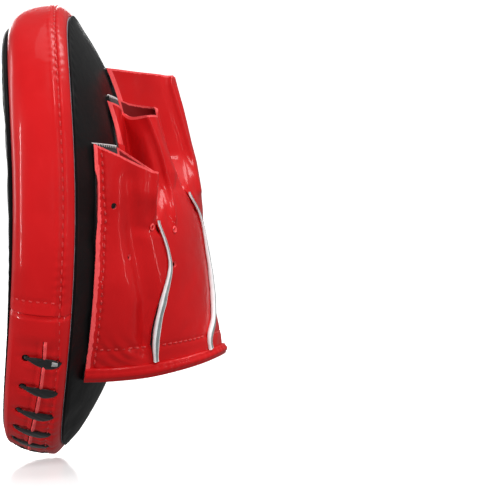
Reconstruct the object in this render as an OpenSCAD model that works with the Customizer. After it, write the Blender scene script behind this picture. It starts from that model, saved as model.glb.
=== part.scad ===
// Curved focus mitt: a bowed striking pad with an open-fingered hand glove sewn on its back.
// +Z is up the fingers, the strike face looks along -Y, and the little finger is on the +X side.

/* [Pad] */
// Half width of the pad at its seams, at mid height
pad_half_w = 92; // [84:1:100]
// Height of the pad's seam above its middle
pad_top = 111; // [100:1:122]
// Depth of the pad's seam below its middle
pad_bottom = 118; // [106:1:130]
// Roundness of the top outline, 2 is an ellipse
top_power = 2.4; // [2:0.1:3]
// Roundness of the bottom outline, 2 is an ellipse
bottom_power = 2.2; // [2:0.1:3]
// How much wider the top is than the middle, as a share
top_flare = 0.1; // [0:0.01:0.15]
// Radius that the whole pad is bowed to, round the strike side
bow_r = 520; // [380:10:800]
// Height above the pad's middle where the bow stands upright
bow_mid = 8; // [0:1:15]
// Width of the edge band between its two seams
band_w = 31; // [26:1:36]
// How far the edge band swells past its seams
band_swell = 8.5; // [5:0.5:10]
// Height that the strike face swells
strike_swell = 3.6; // [2:0.2:8]
// Height that the hand side swells
hand_swell = 20; // [14:1:24]

/* [Materials] */
// Thickness of the leather skins
skin_t = 1.4; // [1:0.1:2]
// Thickness of the glove's lining
lining_t = 1; // [0.6:0.1:1.4]
// Diameter of the white piping
piping_d = 3; // [2:0.2:3.6]
// Diameter of the lace
lace_d = 2.6; // [2.2:0.2:3.4]
// Diameter of the sewing thread
thread_d = 0.9; // [0.6:0.1:1.2]

/* [Lacing] */
// Number of lace crossings on each side of the lowest one
lace_pairs = 6; // [4:1:6]
// Angle round the outline from one crossing to the next
lace_step = 9.75; // [9:0.25:10]
// Distance from the slit to each lace hole
lace_reach = 9.5; // [7:0.5:10]

/* [Glove] */
// Distance from the pad's seam in to the glove's side edges
glove_inset = 13; // [10:1:20]
// Lowest row of the glove, measured up the pad
glove_low = -78; // [-84:1:-70]
// Height of the glove's knuckle ridge off the pad's middle plane, at the cuff
cuff_ridge = 86; // [80:1:92]
// Height of the cuff's binding
binding_h = 6.5; // [5:0.5:8]

/* [Hidden] */

// Place of the pad's middle, so that the bottom of the mitt's box is at the origin
pad_y = -28.6;
pad_z = 127.7;

red = [0.78, 0.08, 0.09];
black = [0.08, 0.08, 0.08];
thread_red = [0.85, 0.2, 0.2];

// Turns in a full outline, and the rings of a domed face
outline_steps = 60;
face_rings = [0.25, 0.5, 0.7, 0.84, 0.93, 0.98, 1];

// The outline angle where the upper band's ends lie over the lower band
lap_angle = -19.5;
lap_under = 6;
lap_stitch_angle = -16.5;
slit_angle = -26.5;
slit_gap = 0.9;
slit_back_over = 4;
// Place of the slit across the band, as a share of its half width
slit_w = 0.13;
// Slope of each lace crossing, in degrees of the outline
lace_slope = 0.35;
// Depth that the laces pull the band in
lace_pull = 1.6;
hole_r = 2.1;
// Clear height of the lace over the band, and under it
lace_over = 0.2;
lace_under = 0.6;
// Place of the topstitch across the band, and how far a thread stands off the leather
topstitch_w = 0.66;
thread_lift = 0.02;
// Room kept round the middle foam for the lace's inner runs, and the strip in it
lace_room = 11;
backing_t = 1;
backing_lift = 3;
// Thickness of the soft outer foam layers at the rim, and the foam's inset from the seams
soft_foam_t = 4;
foam_inset = 0.6;
// Clearance between neighbouring pieces
gap = 0.15;

// Finger sleeves: [near base x, ridge x, far base x, top row, drop at the ridge,
//                  ridge height at the top, ridge height at the knuckles]
little = [79, 64, 50, 38, 14, 54.5, 52.5];
ring = [45.5, 32, 18.5, 64, 8, 50, 67];
middle = [14, 0, -13.5, 81, 3, 60, 73.5];
index = [-18, -32, -45, 70, 5, 54, 68];
thumb = [-49.5, -63, -78, 22, 6, 46, 54];
// Rows where two neighbouring sleeves part: little/ring, ring/middle, middle/index, index/thumb
notches = [0, 15, 13, -22];
part_len = 20;
// Half the gap between neighbouring sleeves at a seam, in degrees of the glove's arch
seam_trim = 0.6;
// Row of the stitching above the cuff's elastic
stitch_row = -62;
// Shape of the arches: over 1 is more pointed, under 1 is squarer
finger_power = 0.9;
body_power = 1.15;
// How far the arch's rise up the pad lags behind its height, as a power
body_lag = 2.2;
finger_lag = 1;
// Rise of the glove's outer side up the pad, for each step of its rows
ridge_rise = 1.04;
// Columns of a sleeve's grid, and the height of its rows
cols = 15;
row_step = 9;
palm_t = 1.6;
elastic_t = 1.2;
binding_t = 1.2;
binding_gap = 0.8;
overlock_d = 1.6;
// The stuffed grip: its middle, half width and half height, and how high it stands
grip_x = 2;
grip_s = -28;
grip_half = [30, 22];
grip_rim = 0.8;
grip_high = 13;

// ---- helpers -----------------------------------------------------------------------------

function smooth(x) = let(t = min(1, max(0, x))) t * t * (3 - 2 * t);
function mix(a, b, t) = a + (b - a) * t;
function pw(x, p) = sign(x) * pow(abs(x), p);
function unit(v) = v / max(norm(v), 1e-9);

// Seam outline at an angle: 0 is the near side, 90 the top
function outline(a) =
    let(s = sin(a), c = cos(a), n = s >= 0 ? top_power : bottom_power)
    [pad_half_w * pw(c, 2 / n) * (1 + top_flare * s), (s >= 0 ? pad_top : pad_bottom) * pw(s, 2 / n)];
function outline_out(a) =
    let(d = outline(a + 0.7) - outline(a - 0.7))
    unit([d[1], -d[0]]);

// A point of the flat pad (x, height off its middle plane, row) on the bowed pad
function bow(x, off, s) =
    let(a = (s - bow_mid) / bow_r * 180 / PI)
    [x, (bow_r + off) * cos(a) - bow_r + pad_y, (bow_r + off) * sin(a) + bow_mid + pad_z];

// How far out a point of the pad lies: 0 at its middle and 1 on its seam
function reach(x, s) =
    let(n = s >= 0 ? top_power : bottom_power, b = s >= 0 ? pad_top : pad_bottom,
        w = pad_half_w * (1 + top_flare * pow(abs(s) / b, n / 2) * sign(s)))
    pow(pow(abs(x) / w, n) + pow(abs(s) / b, n), 1 / n);
function strike_dome(r) = strike_swell * pow(max(0, 1 - pow(r, 3.4)), 0.4);
// Share of the strike face's swell at a row: it lies nearly flush at the bottom
function strike_lift(s) = mix(0.12, 1, smooth((s + 95) / 170));
function hand_dome(r) = hand_swell * pow(max(0, 1 - pow(r, 2.8)), 1.15);
function hand_off(x, s) = band_w / 2 + skin_t + hand_dome(min(1, reach(x, s)));
// A point lifted off the hand side's leather
function on_back(x, s, lift) = bow(x, hand_off(x, s) + lift, s);

// Two triangles of a quad
function quad(a, b, c, d) = [[c, b, a], [d, c, a]];
function flat(l) = [for (a = l) for (b = a) b];

// Closed solid through rings of equal size, drawn to a point at each end
module loft(rings, p0, p1) {
    m = len(rings);
    n = len(rings[0]);
    pts = concat([p0], flat(rings), [p1]);
    sides = [for (i = [0:m - 2]) for (j = [0:n - 1])
        quad(1 + i * n + j, 1 + i * n + (j + 1) % n, 1 + (i + 1) * n + (j + 1) % n, 1 + (i + 1) * n + j)];
    first = [for (j = [0:n - 1]) [1 + j, 1 + (j + 1) % n, 0]];
    last = [for (j = [0:n - 1]) [m * n + 1, 1 + (m - 1) * n + (j + 1) % n, 1 + (m - 1) * n + j]];
    polyhedron(pts, concat(flat(sides), first, last), convexity = 6);
}

// Thick sheet between an outer grid A and an inner grid B, each a list of rows
module sheet(A, B) {
    m = len(A);
    n = len(A[0]);
    a = function(i, j) i * n + j;
    b = function(i, j) m * n + i * n + j;
    skins = [for (i = [0:m - 2]) for (j = [0:n - 2]) concat(
        quad(a(i, j), a(i, j + 1), a(i + 1, j + 1), a(i + 1, j)),
        quad(b(i, j), b(i + 1, j), b(i + 1, j + 1), b(i, j + 1)))];
    ends = [for (j = [0:n - 2]) concat(
        quad(a(0, j), b(0, j), b(0, j + 1), a(0, j + 1)),
        quad(a(m - 1, j), a(m - 1, j + 1), b(m - 1, j + 1), b(m - 1, j)))];
    edges = [for (i = [0:m - 2]) concat(
        quad(a(i, 0), a(i + 1, 0), b(i + 1, 0), b(i, 0)),
        quad(a(i, n - 1), b(i, n - 1), b(i + 1, n - 1), a(i + 1, n - 1)))];
    polyhedron(concat(flat(A), flat(B)), concat(flat(skins), flat(ends), flat(edges)), convexity = 8);
}

// Round tube along points
module tube(path, d, sides) {
    n = len(path);
    dir = [for (i = [0:n - 1]) unit(path[min(n - 1, i + 1)] - path[max(0, i - 1)])];
    rings = [for (i = [0:n - 1])
        let(up = abs(dir[i][1]) > 0.9 ? [1, 0, 0] : [0, 1, 0], u = unit(cross(up, dir[i])),
            v = cross(dir[i], u))
        [for (k = [0:sides - 1]) let(a = 360 * k / sides) path[i] + (u * cos(a) + v * sin(a)) * d / 2]];
    loft(rings, path[0], path[n - 1]);
}

// ---- the pad -----------------------------------------------------------------------------

function face_ring(r, off, shrink = 0) =
    [for (k = [0:outline_steps - 1])
        let(a = 360 * k / outline_steps, p = (outline(a) - outline_out(a) * shrink) * r)
        bow(p[0], off, p[1])];

// Ring of the strike side: its swell shrinks towards the bottom
function strike_ring(r, off, shrink = 0) =
    [for (k = [0:outline_steps - 1])
        let(a = 360 * k / outline_steps, p = (outline(a) - outline_out(a) * shrink) * r)
        bow(p[0], off - strike_dome(r) * strike_lift(p[1]), p[1])];

module strike_face() {
    inner = [for (r = face_rings) strike_ring(r, -band_w / 2)];
    outer = [for (k = [len(face_rings) - 1:-1:0]) strike_ring(face_rings[k], -band_w / 2 - skin_t)];
    crown = -band_w / 2 - strike_dome(0) * strike_lift(0);
    color(black) loft(concat(inner, outer), bow(0, crown, 0), bow(0, crown - skin_t, 0));
}

module back_face() {
    outer = [for (r = face_rings) face_ring(r, band_w / 2 + skin_t + hand_dome(r))];
    inner = [for (k = [len(face_rings) - 1:-1:0])
        face_ring(face_rings[k], band_w / 2 + hand_dome(face_rings[k]))];
    crown = band_w / 2 + hand_dome(0);
    color(black) loft(concat(outer, inner), bow(0, crown + skin_t, 0), bow(0, crown, 0));
}

// Swell of the edge band at w, from -1 at the strike seam to 1 at the hand seam
function band_out(w) = band_swell * pow(max(0, 1 - pow(abs(w), 3)), 0.55);
// How far the lace pulls the band in, along the laced stretch
function lace_sink(a, w) =
    lace_pull * smooth((90 + slit_angle + 2 - abs(a + 90)) / 5) * max(0, 1 - pow(abs(w) / 0.8, 6));
function band_point(a, w, depth) =
    let(p = outline(a) + outline_out(a) * (band_out(w) - depth - lace_sink(a, w)))
    bow(p[0], w * (band_w / 2 - gap), p[1]);
band_ws = [-1, -0.95, -0.8, -0.5, 0, 0.5, 0.8, 0.95, 1];

module band(a0, a1, step, under) {
    n = ceil((a1 - a0) / step);
    angles = [for (i = [0:n]) mix(a0, a1, i / n)];
    rows = function(depth) [for (a = angles) [for (w = band_ws) band_point(a, w, depth + under(a))]];
    sheet(rows(0), rows(skin_t));
}

module gusset_top_band() {
    color(red) band(lap_angle, 180 - lap_angle, 7, function(a) 0);
}

// The lower band dips under the upper band's ends
function dip(a) = (skin_t + gap) * smooth((a - lap_angle + 1.5) / 1.3);
module gusset_bottom_band() {
    top = lap_angle + lap_under;
    color(red) difference() {
        band(-180 - top, top, 4.5, function(a) dip(a) + dip(-180 - a));
        slit();
        for (k = [-lace_pairs:lace_pairs], side = [-1, 1]) lace_hole(-90 + k * lace_step, side);
    }
}
module slit() {
    n = 40;
    half = slit_gap / band_w;
    cut = function(depth) [for (i = [0:n]) let(a = mix(-180 - slit_angle, slit_angle, i / n))
        [for (w = [slit_w - half, slit_w + half]) band_point(a, w, depth)]];
    sheet(cut(-1), cut(skin_t + 1));
}
// A point beside the slit, each crossing sloping down towards the hand side
function lace_point(a, side, depth) =
    band_point(a - side * lace_slope, slit_w + side * lace_reach * 2 / band_w, depth);
module lace_hole(a, side) {
    tube([lace_point(a, side, -2), lace_point(a, side, skin_t + 2)], 2 * hole_r, 10);
}

// A row of stitches laid on the edge band, as one thread
module gusset_topstitch() {
    path = [for (a = [-90:6:270]) band_point(a, topstitch_w, -thread_d / 2 - thread_lift)];
    color(thread_red) tube(path, thread_d, 5);
}
module lap_stitch(a) {
    path = [for (w = [-0.85:0.17:0.55]) band_point(a, w, -thread_d / 2 - thread_lift)];
    color(thread_red) tube(path, thread_d, 5);
}

// Strip behind the lacing slit
module slit_backing() {
    n = 32;
    rows = function(depth) [for (i = [0:n])
        let(a = mix(-180 - slit_angle - slit_back_over, slit_angle + slit_back_over, i / n))
        [for (w = [-0.7, -0.35, 0, 0.35, 0.7])
            band_point(a, w, depth)]];
    color([0.15, 0.15, 0.15])
        sheet(rows(lace_room - backing_lift - backing_t), rows(lace_room - backing_lift));
}

// One lace wound over and under the slit: eight points from each crossing to the next
function lace_stop(i, f) =
    let(a = -90 - (i - lace_pairs) * lace_step, over = -lace_d / 2 - lace_over,
        under = skin_t + lace_d / 2 + lace_under)
    f == 0 ? lace_point(a, -1, under) :
    f == 1 ? lace_point(a, -0.98, over + 1.2) :
    f == 2 ? lace_point(a, -0.6, over) :
    f == 3 ? lace_point(a, 0, over) :
    f == 4 ? lace_point(a, 0.6, over) :
    f == 5 ? lace_point(a, 0.98, over + 1.2) :
    f == 6 ? lace_point(a, 1, under) :
    lace_point(a - lace_step / 2, 0, under + 1);
module lace() {
    n = 2 * lace_pairs;
    path = [for (i = [0:n]) for (f = [0:i == n ? 6 : 7]) lace_stop(i, f)];
    color(black) tube(path, lace_d, 8);
}

// Foam layers between two heights, their rims inset from the seams
module foam_strike_layer() {
    cut = -band_w / 2 + soft_foam_t;
    back = [for (r = face_rings) face_ring(r, cut, foam_inset)];
    front = [for (k = [len(face_rings) - 1:-1:0])
        strike_ring(face_rings[k], -band_w / 2 + gap, foam_inset)];
    crown = bow(0, -band_w / 2 + gap - strike_dome(0) * strike_lift(0), 0);
    color([0.55, 0.55, 0.6]) loft(concat(back, front), bow(0, cut, 0), crown);
}
module foam_middle_layer() {
    half = band_w / 2 - soft_foam_t - gap;
    inset = lace_room - band_swell + gap * 10;
    rings = [face_ring(0.6, half, inset), face_ring(1, half, inset),
        face_ring(1, -half, inset), face_ring(0.6, -half, inset)];
    color([0.75, 0.7, 0.5]) loft(rings, bow(0, half, 0), bow(0, -half, 0));
}
module foam_hand_layer() {
    cut = band_w / 2 - soft_foam_t;
    back = [for (r = face_rings) face_ring(r, band_w / 2 - gap + hand_dome(r), foam_inset)];
    front = [for (k = [len(face_rings) - 1:-1:0]) face_ring(face_rings[k], cut, foam_inset)];
    crown = bow(0, band_w / 2 - gap + hand_swell, 0);
    color([0.6, 0.6, 0.65]) loft(concat(back, front), crown, bow(0, cut, 0));
}

// ---- the glove ---------------------------------------------------------------------------

// Side edge of the glove at a row, and the height of its knuckle ridge
function edge_x(s) =
    let(n = s >= 0 ? top_power : bottom_power, b = s >= 0 ? pad_top : pad_bottom,
        w = pad_half_w * (1 + top_flare * pow(abs(s) / b, n / 2) * sign(s)))
    w * pow(1 - pow(abs(s) / b, n), 1 / n) - glove_inset;
function ridge_y(s) = lookup(s,
    [[glove_low, cuff_ridge], [-64, 84.5], [-48, 81.5], [-32, 79.5], [-14, 77], [8, 73.5], [20, 70.5]]);
function ridge_z(s) = s * ridge_rise + lookup(s, [[glove_low, 10], [-62, 6], [-30, 1], [0, 0]]);

// Base point of a sleeve's wall, on the palm panel
function base(x, s) = on_back(x, s, palm_t + 2 * gap);
// Arch from a near base over a ridge to a far base, at 0 to 180 degrees; its rise along the
// pad lags behind its height by the power z_lag
function arch(b0, b1, m, a, power, z_lag) =
    let(c = pw(cos(a), power), h = pw(sin(a), power), b = a < 90 ? b0 : b1)
    [m[0] + (b[0] - m[0]) * abs(c), mix(b[1], m[1], h), mix(b[2], m[2], pow(abs(h), z_lag))];
function body_arch(s, a) =
    arch(base(edge_x(s), s), base(-edge_x(s), s), [0, ridge_y(s) + pad_y, ridge_z(s) + pad_z], a,
        body_power, body_lag);
function finger_arch(f, s, knuckle, a) =
    let(t = (s - knuckle) / (f[3] - knuckle), drop = f[4] * smooth(t),
        y = mix(f[6], f[5], min(1, max(0, t))),
        x0 = f == little ? edge_x(s) : f[0], x1 = f == thumb ? -edge_x(s) : f[2])
    arch(base(x0, s), base(x1, s), [f[1], y + pad_y, s * ridge_rise - drop + pad_z], a,
        finger_power, finger_lag);

// Seams of the glove's body, as arch angles at a row
seam_1 = function(s) lookup(s, [[glove_low, 34], [-59, 33.5], [-38, 38], [-18, 43], [-8, 41], [0, 37.5]]);
seam_2 = function(s) lookup(s,
    [[glove_low, 68], [-62, 67], [-52, 75], [-42, 79], [-10, 80], [5, 76], [15, 67]]);
seam_3 = function(s) lookup(s, [[glove_low, 112], [-30, 103], [0, 102], [13, 111]]);
seam_4 = function(s) 145;
side_0 = function(s) -seam_trim;
side_5 = function(s) 180 + seam_trim;

// A sleeve's side walls fold out of its seams: their share of its columns, on the near and far side
fold = 0.27;
fold_seed = 0.05;
// Arch angle of a finger that its crown reaches down to, above its side walls
crown_angle = 62;
function has_near(f) = f != little;
function has_far(f) = f != thumb;
// Where column share u lies between the seams, and at what angle of the finger's own arch
function spread(u, c0, c1, v0, v1, top) =
    u < c0 ? v0 * u / c0 : u > c1 ? mix(v1, top, (u - c1) / (1 - c1)) : mix(v0, v1, (u - c0) / (c1 - c0));
function seam_share(f, u) = spread(u, has_near(f) ? fold : 0, has_far(f) ? 1 - fold : 1,
    has_near(f) ? fold_seed : 0, has_far(f) ? 1 - fold_seed : 1, 1);
function arch_angle(f, u) = spread(u, has_near(f) ? fold : 0, has_far(f) ? 1 - fold : 1,
    !has_near(f) ? 0 : has_far(f) ? crown_angle : 90,
    !has_far(f) ? 180 : has_near(f) ? 180 - crown_angle : 90, 180);

// Point of a sleeve's inner face at column share u and row s, between its seams lo and hi;
// it parts from its neighbours above the rows n0 and n1
function sleeve_point(f, s, u, lo, hi, n0, n1) =
    let(d = mix(smooth((s - n0) / part_len), smooth((s - n1) / part_len), u),
        p = body_arch(s, mix(lo, hi, seam_share(f, u))),
        q = finger_arch(f, s, min(n0, n1), arch_angle(f, u)))
    mix(p, q, d);

// Leather sleeve: its inner grid, and the same grid moved out by the skin's thickness
function moved(row, w) = [for (j = [0:len(row) - 1])
    let(d = row[min(len(row) - 1, j + 1)] - row[max(0, j - 1)]) row[j] + unit([d[1], -d[0], 0]) * w];
function sleeve_row(f, s, lo, hi, n0, n1) = [for (j = [0:cols])
    sleeve_point(f, s, j / cols, lo(s) + seam_trim, hi(s) - seam_trim, n0, n1)];
module sleeve(f, lo, hi, n0, n1) {
    n = ceil((f[3] - glove_low) / row_step);
    inner = [for (i = [0:n]) sleeve_row(f, mix(glove_low + 1, f[3], i / n), lo, hi, n0, n1)];
    sheet([for (row = inner) moved(row, skin_t)], inner);
}
module little_finger_sleeve() {
    color(red) sleeve(little, side_0, seam_1, notches[0], notches[0]);
}
module ring_finger_sleeve() {
    color(red) sleeve(ring, seam_1, seam_2, notches[0], notches[1]);
}
module middle_finger_sleeve() {
    color(red) sleeve(middle, seam_2, seam_3, notches[1], notches[2]);
}
module index_finger_sleeve() {
    color(red) sleeve(index, seam_3, seam_4, notches[2], notches[3]);
}
module thumb_sleeve() {
    color(red) sleeve(thumb, seam_4, side_5, notches[3], notches[3]);
}

// Point on the glove's body at row s and arch angle a, moved out by w from the skin's inner face
function body_point(s, a, w) =
    let(d = body_arch(s, min(180, a + 1)) - body_arch(s, max(0, a - 1)))
    body_arch(s, a) + unit([d[1], -d[0], 0]) * w;

// Piping in the seam between two sleeves, from the cuff's binding up to the notch
module piping(seam, notch) {
    n = 18;
    low = glove_low + binding_h + 1;
    lift = skin_t + piping_d / 2 + gap;
    path = [for (i = [0:n]) let(s = mix(low, notch, i / n)) body_point(s, seam(s), lift)];
    color("white") tube(path, piping_d, 8);
}
module piping_little_ring() {
    piping(seam_1, notches[0]);
}
module piping_ring_middle() {
    piping(seam_2, notches[1]);
}
module piping_middle_index() {
    piping(seam_3, notches[2]);
}

// Black palm sheet: its top edge steps up and down under the five sleeves
palm_xs = [79, 64, 49.5, 46, 32, 18, 14.5, 0, -14, -17.5, -32, -45.5, -49, -64, -79];
function palm_top(x) =
    x > 48 ? little[3] : x > 16 ? ring[3] : x > -16 ? middle[3] : x > -47 ? index[3] : thumb[3];
function palm_point(x, s, w) = on_back(x * edge_x(s) / edge_x(0), s, w);
function palm_rows(w) = [for (i = [0:8]) [for (x = palm_xs)
    palm_point(x, mix(glove_low, palm_top(x), i / 8), w)]];
module palm_panel() {
    color(black) sheet(palm_rows(gap + palm_t), palm_rows(gap));
}
// Overlocked thread along the palm sheet's top edge, one run under each sleeve
module palm_overlock() {
    ends = [[79, 50], [45.5, 18.5], [14, -13.5], [-18, -45], [-50, -79]];
    along = function(e) [for (k = [0:4]) let(x = mix(e[0], e[1], k / 4))
        palm_point(x, palm_top(x) + overlock_d / 2, gap + palm_t / 2)];
    color("white") for (e = ends) tube(along(e), overlock_d, 6);
}
// Stuffed ball that the palm closes on
module palm_grip() {
    ring = function(r, w) [for (a = [0:15:345])
        on_back(grip_x + grip_half[0] * r * cos(a), grip_s + grip_half[1] * r * sin(a), w)];
    lift = palm_t + 2 * gap;
    dome = [for (r = [0.35, 0.65, 0.85, 0.96, 1]) ring(r, lift + grip_rim + grip_high * sqrt(1 - r * r))];
    color([0.12, 0.12, 0.12])
        loft(concat(dome, [ring(0.99, lift), ring(0.5, lift)]),
            on_back(grip_x, grip_s, lift + grip_rim + grip_high), on_back(grip_x, grip_s, lift));
}

// Layers inside the glove's body
module inside(s0, s1, a0, w0, w1) {
    grid = function(w) [for (i = [0:5]) [for (j = [0:20])
        body_point(mix(s0, s1, i / 5), mix(a0, 180 - a0, j / 20), w)]];
    sheet(grid(w0), grid(w1));
}
module glove_lining() {
    color([0.2, 0.2, 0.22])
        inside(glove_low + binding_h + 1.5, notches[3] - 3, 6, -gap, -gap - lining_t);
}
module cuff_elastic() {
    under = -2 * gap - lining_t;
    color([0.3, 0.3, 0.3]) inside(glove_low + binding_h + 1.5, stitch_row, 9, under, under - elastic_t);
}
// Strip folded round the glove's bottom edge
module cuff_binding() {
    wrap = function(t) [for (j = [0:24]) let(a = mix(0.5, 179.5, j / 24)) [
        body_point(glove_low + binding_h, a, skin_t + gap + t),
        body_point(glove_low + binding_gap - t, a, skin_t + gap + t),
        body_point(glove_low + binding_gap - t, a, -gap - t),
        body_point(glove_low + binding_h, a, -gap - t)]];
    color([0.82, 0.1, 0.1]) sheet(wrap(binding_t), wrap(0));
}

// Sewn lines, each laid as one thread
module cuff_stitch() {
    stops = [5, seam_1(stitch_row), seam_2(stitch_row), seam_3(stitch_row), 175];
    color(thread_red) for (k = [0:3]) {
        a0 = stops[k] + 3.5;
        a1 = stops[k + 1] - 3.5;
        lift = skin_t + thread_d / 2 + gap;
        tube([for (i = [0:6]) body_point(stitch_row, mix(a0, a1, i / 6), lift)], thread_d, 5);
    }
}
module edge_stitch(f, u, lo, hi, notch) {
    n = 14;
    low = glove_low + binding_h + 2;
    path = [for (i = [0:n])
        let(s = mix(low, f[3] - 3, i / n), p = sleeve_point(f, s, u, lo(s), hi(s), notch, notch),
            q = sleeve_point(f, s, u + 0.01, lo(s), hi(s), notch, notch), d = q - p)
        p + unit([d[1], -d[0], 0]) * (skin_t + thread_d / 2 + gap)];
    color(thread_red) tube(path, thread_d, 5);
}
module edge_stitch_near() {
    edge_stitch(little, 0.05, side_0, seam_1, notches[0]);
}
module edge_stitch_far() {
    edge_stitch(thumb, 0.94, seam_4, side_5, notches[3]);
}
module lap_stitch_near() {
    lap_stitch(lap_stitch_angle);
}
module lap_stitch_far() {
    lap_stitch(-180 - lap_stitch_angle);
}

strike_face();
back_face();
gusset_top_band();
gusset_bottom_band();
gusset_topstitch();
lap_stitch_near();
lap_stitch_far();
slit_backing();
lace();
foam_strike_layer();
foam_middle_layer();
foam_hand_layer();
palm_panel();
palm_overlock();
palm_grip();
little_finger_sleeve();
ring_finger_sleeve();
middle_finger_sleeve();
index_finger_sleeve();
thumb_sleeve();
piping_little_ring();
piping_ring_middle();
piping_middle_index();
glove_lining();
cuff_elastic();
cuff_binding();
cuff_stitch();
edge_stitch_near();
edge_stitch_far();
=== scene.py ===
"""Looks of a curved focus mitt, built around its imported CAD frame.

Shapes are worked out in millimetres, mostly with the CAD part's formulas: a pad point is (x across,
height off the pad's middle plane, row up the pad), bowed about X. make_mesh() turns millimetres
into metres. +Z is up the fingers, the strike face looks along -Y, and the little
finger and the camera are on the +X side.
"""
import math

import bmesh
import bpy
import numpy as np
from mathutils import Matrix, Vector


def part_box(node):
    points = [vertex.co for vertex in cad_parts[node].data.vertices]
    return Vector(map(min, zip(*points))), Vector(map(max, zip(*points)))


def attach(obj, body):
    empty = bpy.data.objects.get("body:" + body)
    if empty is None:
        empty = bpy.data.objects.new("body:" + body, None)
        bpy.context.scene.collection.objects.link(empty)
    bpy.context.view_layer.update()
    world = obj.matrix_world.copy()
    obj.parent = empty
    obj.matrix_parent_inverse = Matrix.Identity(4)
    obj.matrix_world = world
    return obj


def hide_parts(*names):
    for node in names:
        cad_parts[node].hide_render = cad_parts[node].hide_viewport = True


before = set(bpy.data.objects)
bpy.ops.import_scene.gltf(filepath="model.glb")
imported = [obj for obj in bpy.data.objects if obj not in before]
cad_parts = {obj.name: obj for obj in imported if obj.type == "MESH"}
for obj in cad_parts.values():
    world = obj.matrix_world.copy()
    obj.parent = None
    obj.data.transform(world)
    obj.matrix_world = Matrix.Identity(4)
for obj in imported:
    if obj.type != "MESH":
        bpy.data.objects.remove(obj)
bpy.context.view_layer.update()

BODY = "root"
MM = 0.001
sim_frames = 20

# ---- dimensions in millimetres, the CAD part's or close to them ---------------------------

pad_half_w, pad_top, pad_bottom = 92.0, 111.0, 118.0
top_power, bottom_power, top_flare = 2.4, 2.2, 0.1
bow_r, bow_mid = 520.0, 8.0
band_w, band_swell = 31.0, 8.5
strike_swell, hand_swell = 3.6, 20.0
skin_t, lining_t = 1.4, 1.0
palm_t, gap = 1.6, 0.15
pad_y, pad_z = -28.6, 127.7

lap_angle, lap_under, lap_stitch_angle = -19.5, 6.0, -16.5
slit_angle, slit_w, slit_gap = -26.5, 0.13, 0.5
lace_pairs, lace_step, lace_reach, lace_slope = 6, 9.6, 8.6, 0.35
lace_pull, hole_r = 1.6, 2.1
topstitch_w = 0.66

glove_inset, glove_low = 13.0, -78.0
binding_h, stitch_row = 6.5, -62.0
body_power, body_lag, finger_power, ridge_rise = 1.15, 2.2, 0.9, 1.04
notches = [0.0, 15.0, 13.0, -22.0]
part_len, seam_trim = 20.0, 0.15
fold, fold_seed, crown_angle = 0.27, 0.05, 62.0

# Finger sleeves: near base x, ridge x, far base x, top row, drop at the ridge,
# ridge height at the top, ridge height at the knuckles
FINGERS = {
    "little": [79, 64, 50, 38, 14, 54.5, 52.5],
    "ring": [45.5, 32, 18.5, 64, 8, 50, 67],
    "middle": [14, 0, -13.5, 81, 3, 60, 73.5],
    "index": [-18, -32, -45, 70, 5, 54, 68],
    "thumb": [-49.5, -63, -78, 22, 6, 46, 54],
}
ORDER = list(FINGERS)
NEAR, FAR = 0, len(ORDER) - 1  # the two sleeves along the glove's side edges

# Rows and arch angles of the seams between the sleeves
SEAMS = [
    ([glove_low, -59, -38, -18, -8, 0], [34, 33.5, 38, 43, 41, 37.5]),
    ([glove_low, -62, -52, -42, -10, 5, 15], [68, 67, 75, 79, 80, 76, 67]),
    ([glove_low, -30, 0, 13], [112, 103, 102, 111]),
    ([glove_low, 0], [145, 145]),
]


# ---- small helpers ------------------------------------------------------------------------

def smooth(x):
    t = np.clip(x, 0.0, 1.0)
    return t * t * (3 - 2 * t)


def mix(a, b, t):
    return a + (b - a) * t


def pw(x, p):
    return np.sign(x) * np.abs(x) ** p


def cosd(a):
    return np.cos(np.radians(a))


def sind(a):
    return np.sin(np.radians(a))


def unit(v):
    return v / np.maximum(np.linalg.norm(v, axis=-1, keepdims=True), 1e-9)


UP = np.array([0.0, 0.0, 1.0])
OFF_PAD = np.array([0.0, 1.0, 0.0])  # from the pad towards the glove


def lookup(x, xs, ys):
    """Smooth curve through a few points, held level beyond its ends."""
    xs, ys = np.asarray(xs, float), np.asarray(ys, float)
    if len(xs) < 3:
        return np.interp(x, xs, ys)
    slope = np.gradient(ys, xs)
    x = np.clip(x, xs[0], xs[-1])
    k = np.clip(np.searchsorted(xs, x) - 1, 0, len(xs) - 2)
    span = xs[k + 1] - xs[k]
    t = (x - xs[k]) / span
    return ((2 * t ** 3 - 3 * t ** 2 + 1) * ys[k] + (t ** 3 - 2 * t ** 2 + t) * span * slope[k]
            + (3 * t ** 2 - 2 * t ** 3) * ys[k + 1] + (t ** 3 - t ** 2) * span * slope[k + 1])


def bump(x):
    """A smooth hill: 1 at 0, and nearly 0 beyond 2."""
    return np.exp(-np.square(x))


NOISE_CELLS = 64


def noise(x, y, seed):
    """Smooth noise from -1 to 1, one lattice cell to each unit of x and y."""
    table = np.random.default_rng(seed).uniform(-1, 1, (NOISE_CELLS, NOISE_CELLS))
    i, j = np.floor(x).astype(int), np.floor(y).astype(int)
    u, v = smooth(x - i), smooth(y - j)
    i0, i1, j0, j1 = i % NOISE_CELLS, (i + 1) % NOISE_CELLS, j % NOISE_CELLS, (j + 1) % NOISE_CELLS
    low = mix(table[i0, j0], table[i1, j0], u)
    high = mix(table[i0, j1], table[i1, j1], u)
    return mix(low, high, v)


def puckers(along, across, pitch, reach_mm, seed):
    """Irregular gathers square to a line of stitches: across is the distance from the line."""
    wander = noise(along / (4 * pitch), across * 0, seed) * 1.4
    wave = np.sin(2 * math.pi * along / pitch + wander + noise(along / pitch, across / 3, seed + 1))
    strength = 0.45 + 0.55 * noise(along / (6 * pitch), across * 0, seed + 2)
    return wave * strength * bump(across / reach_mm)


# ---- the pad ------------------------------------------------------------------------------

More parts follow.
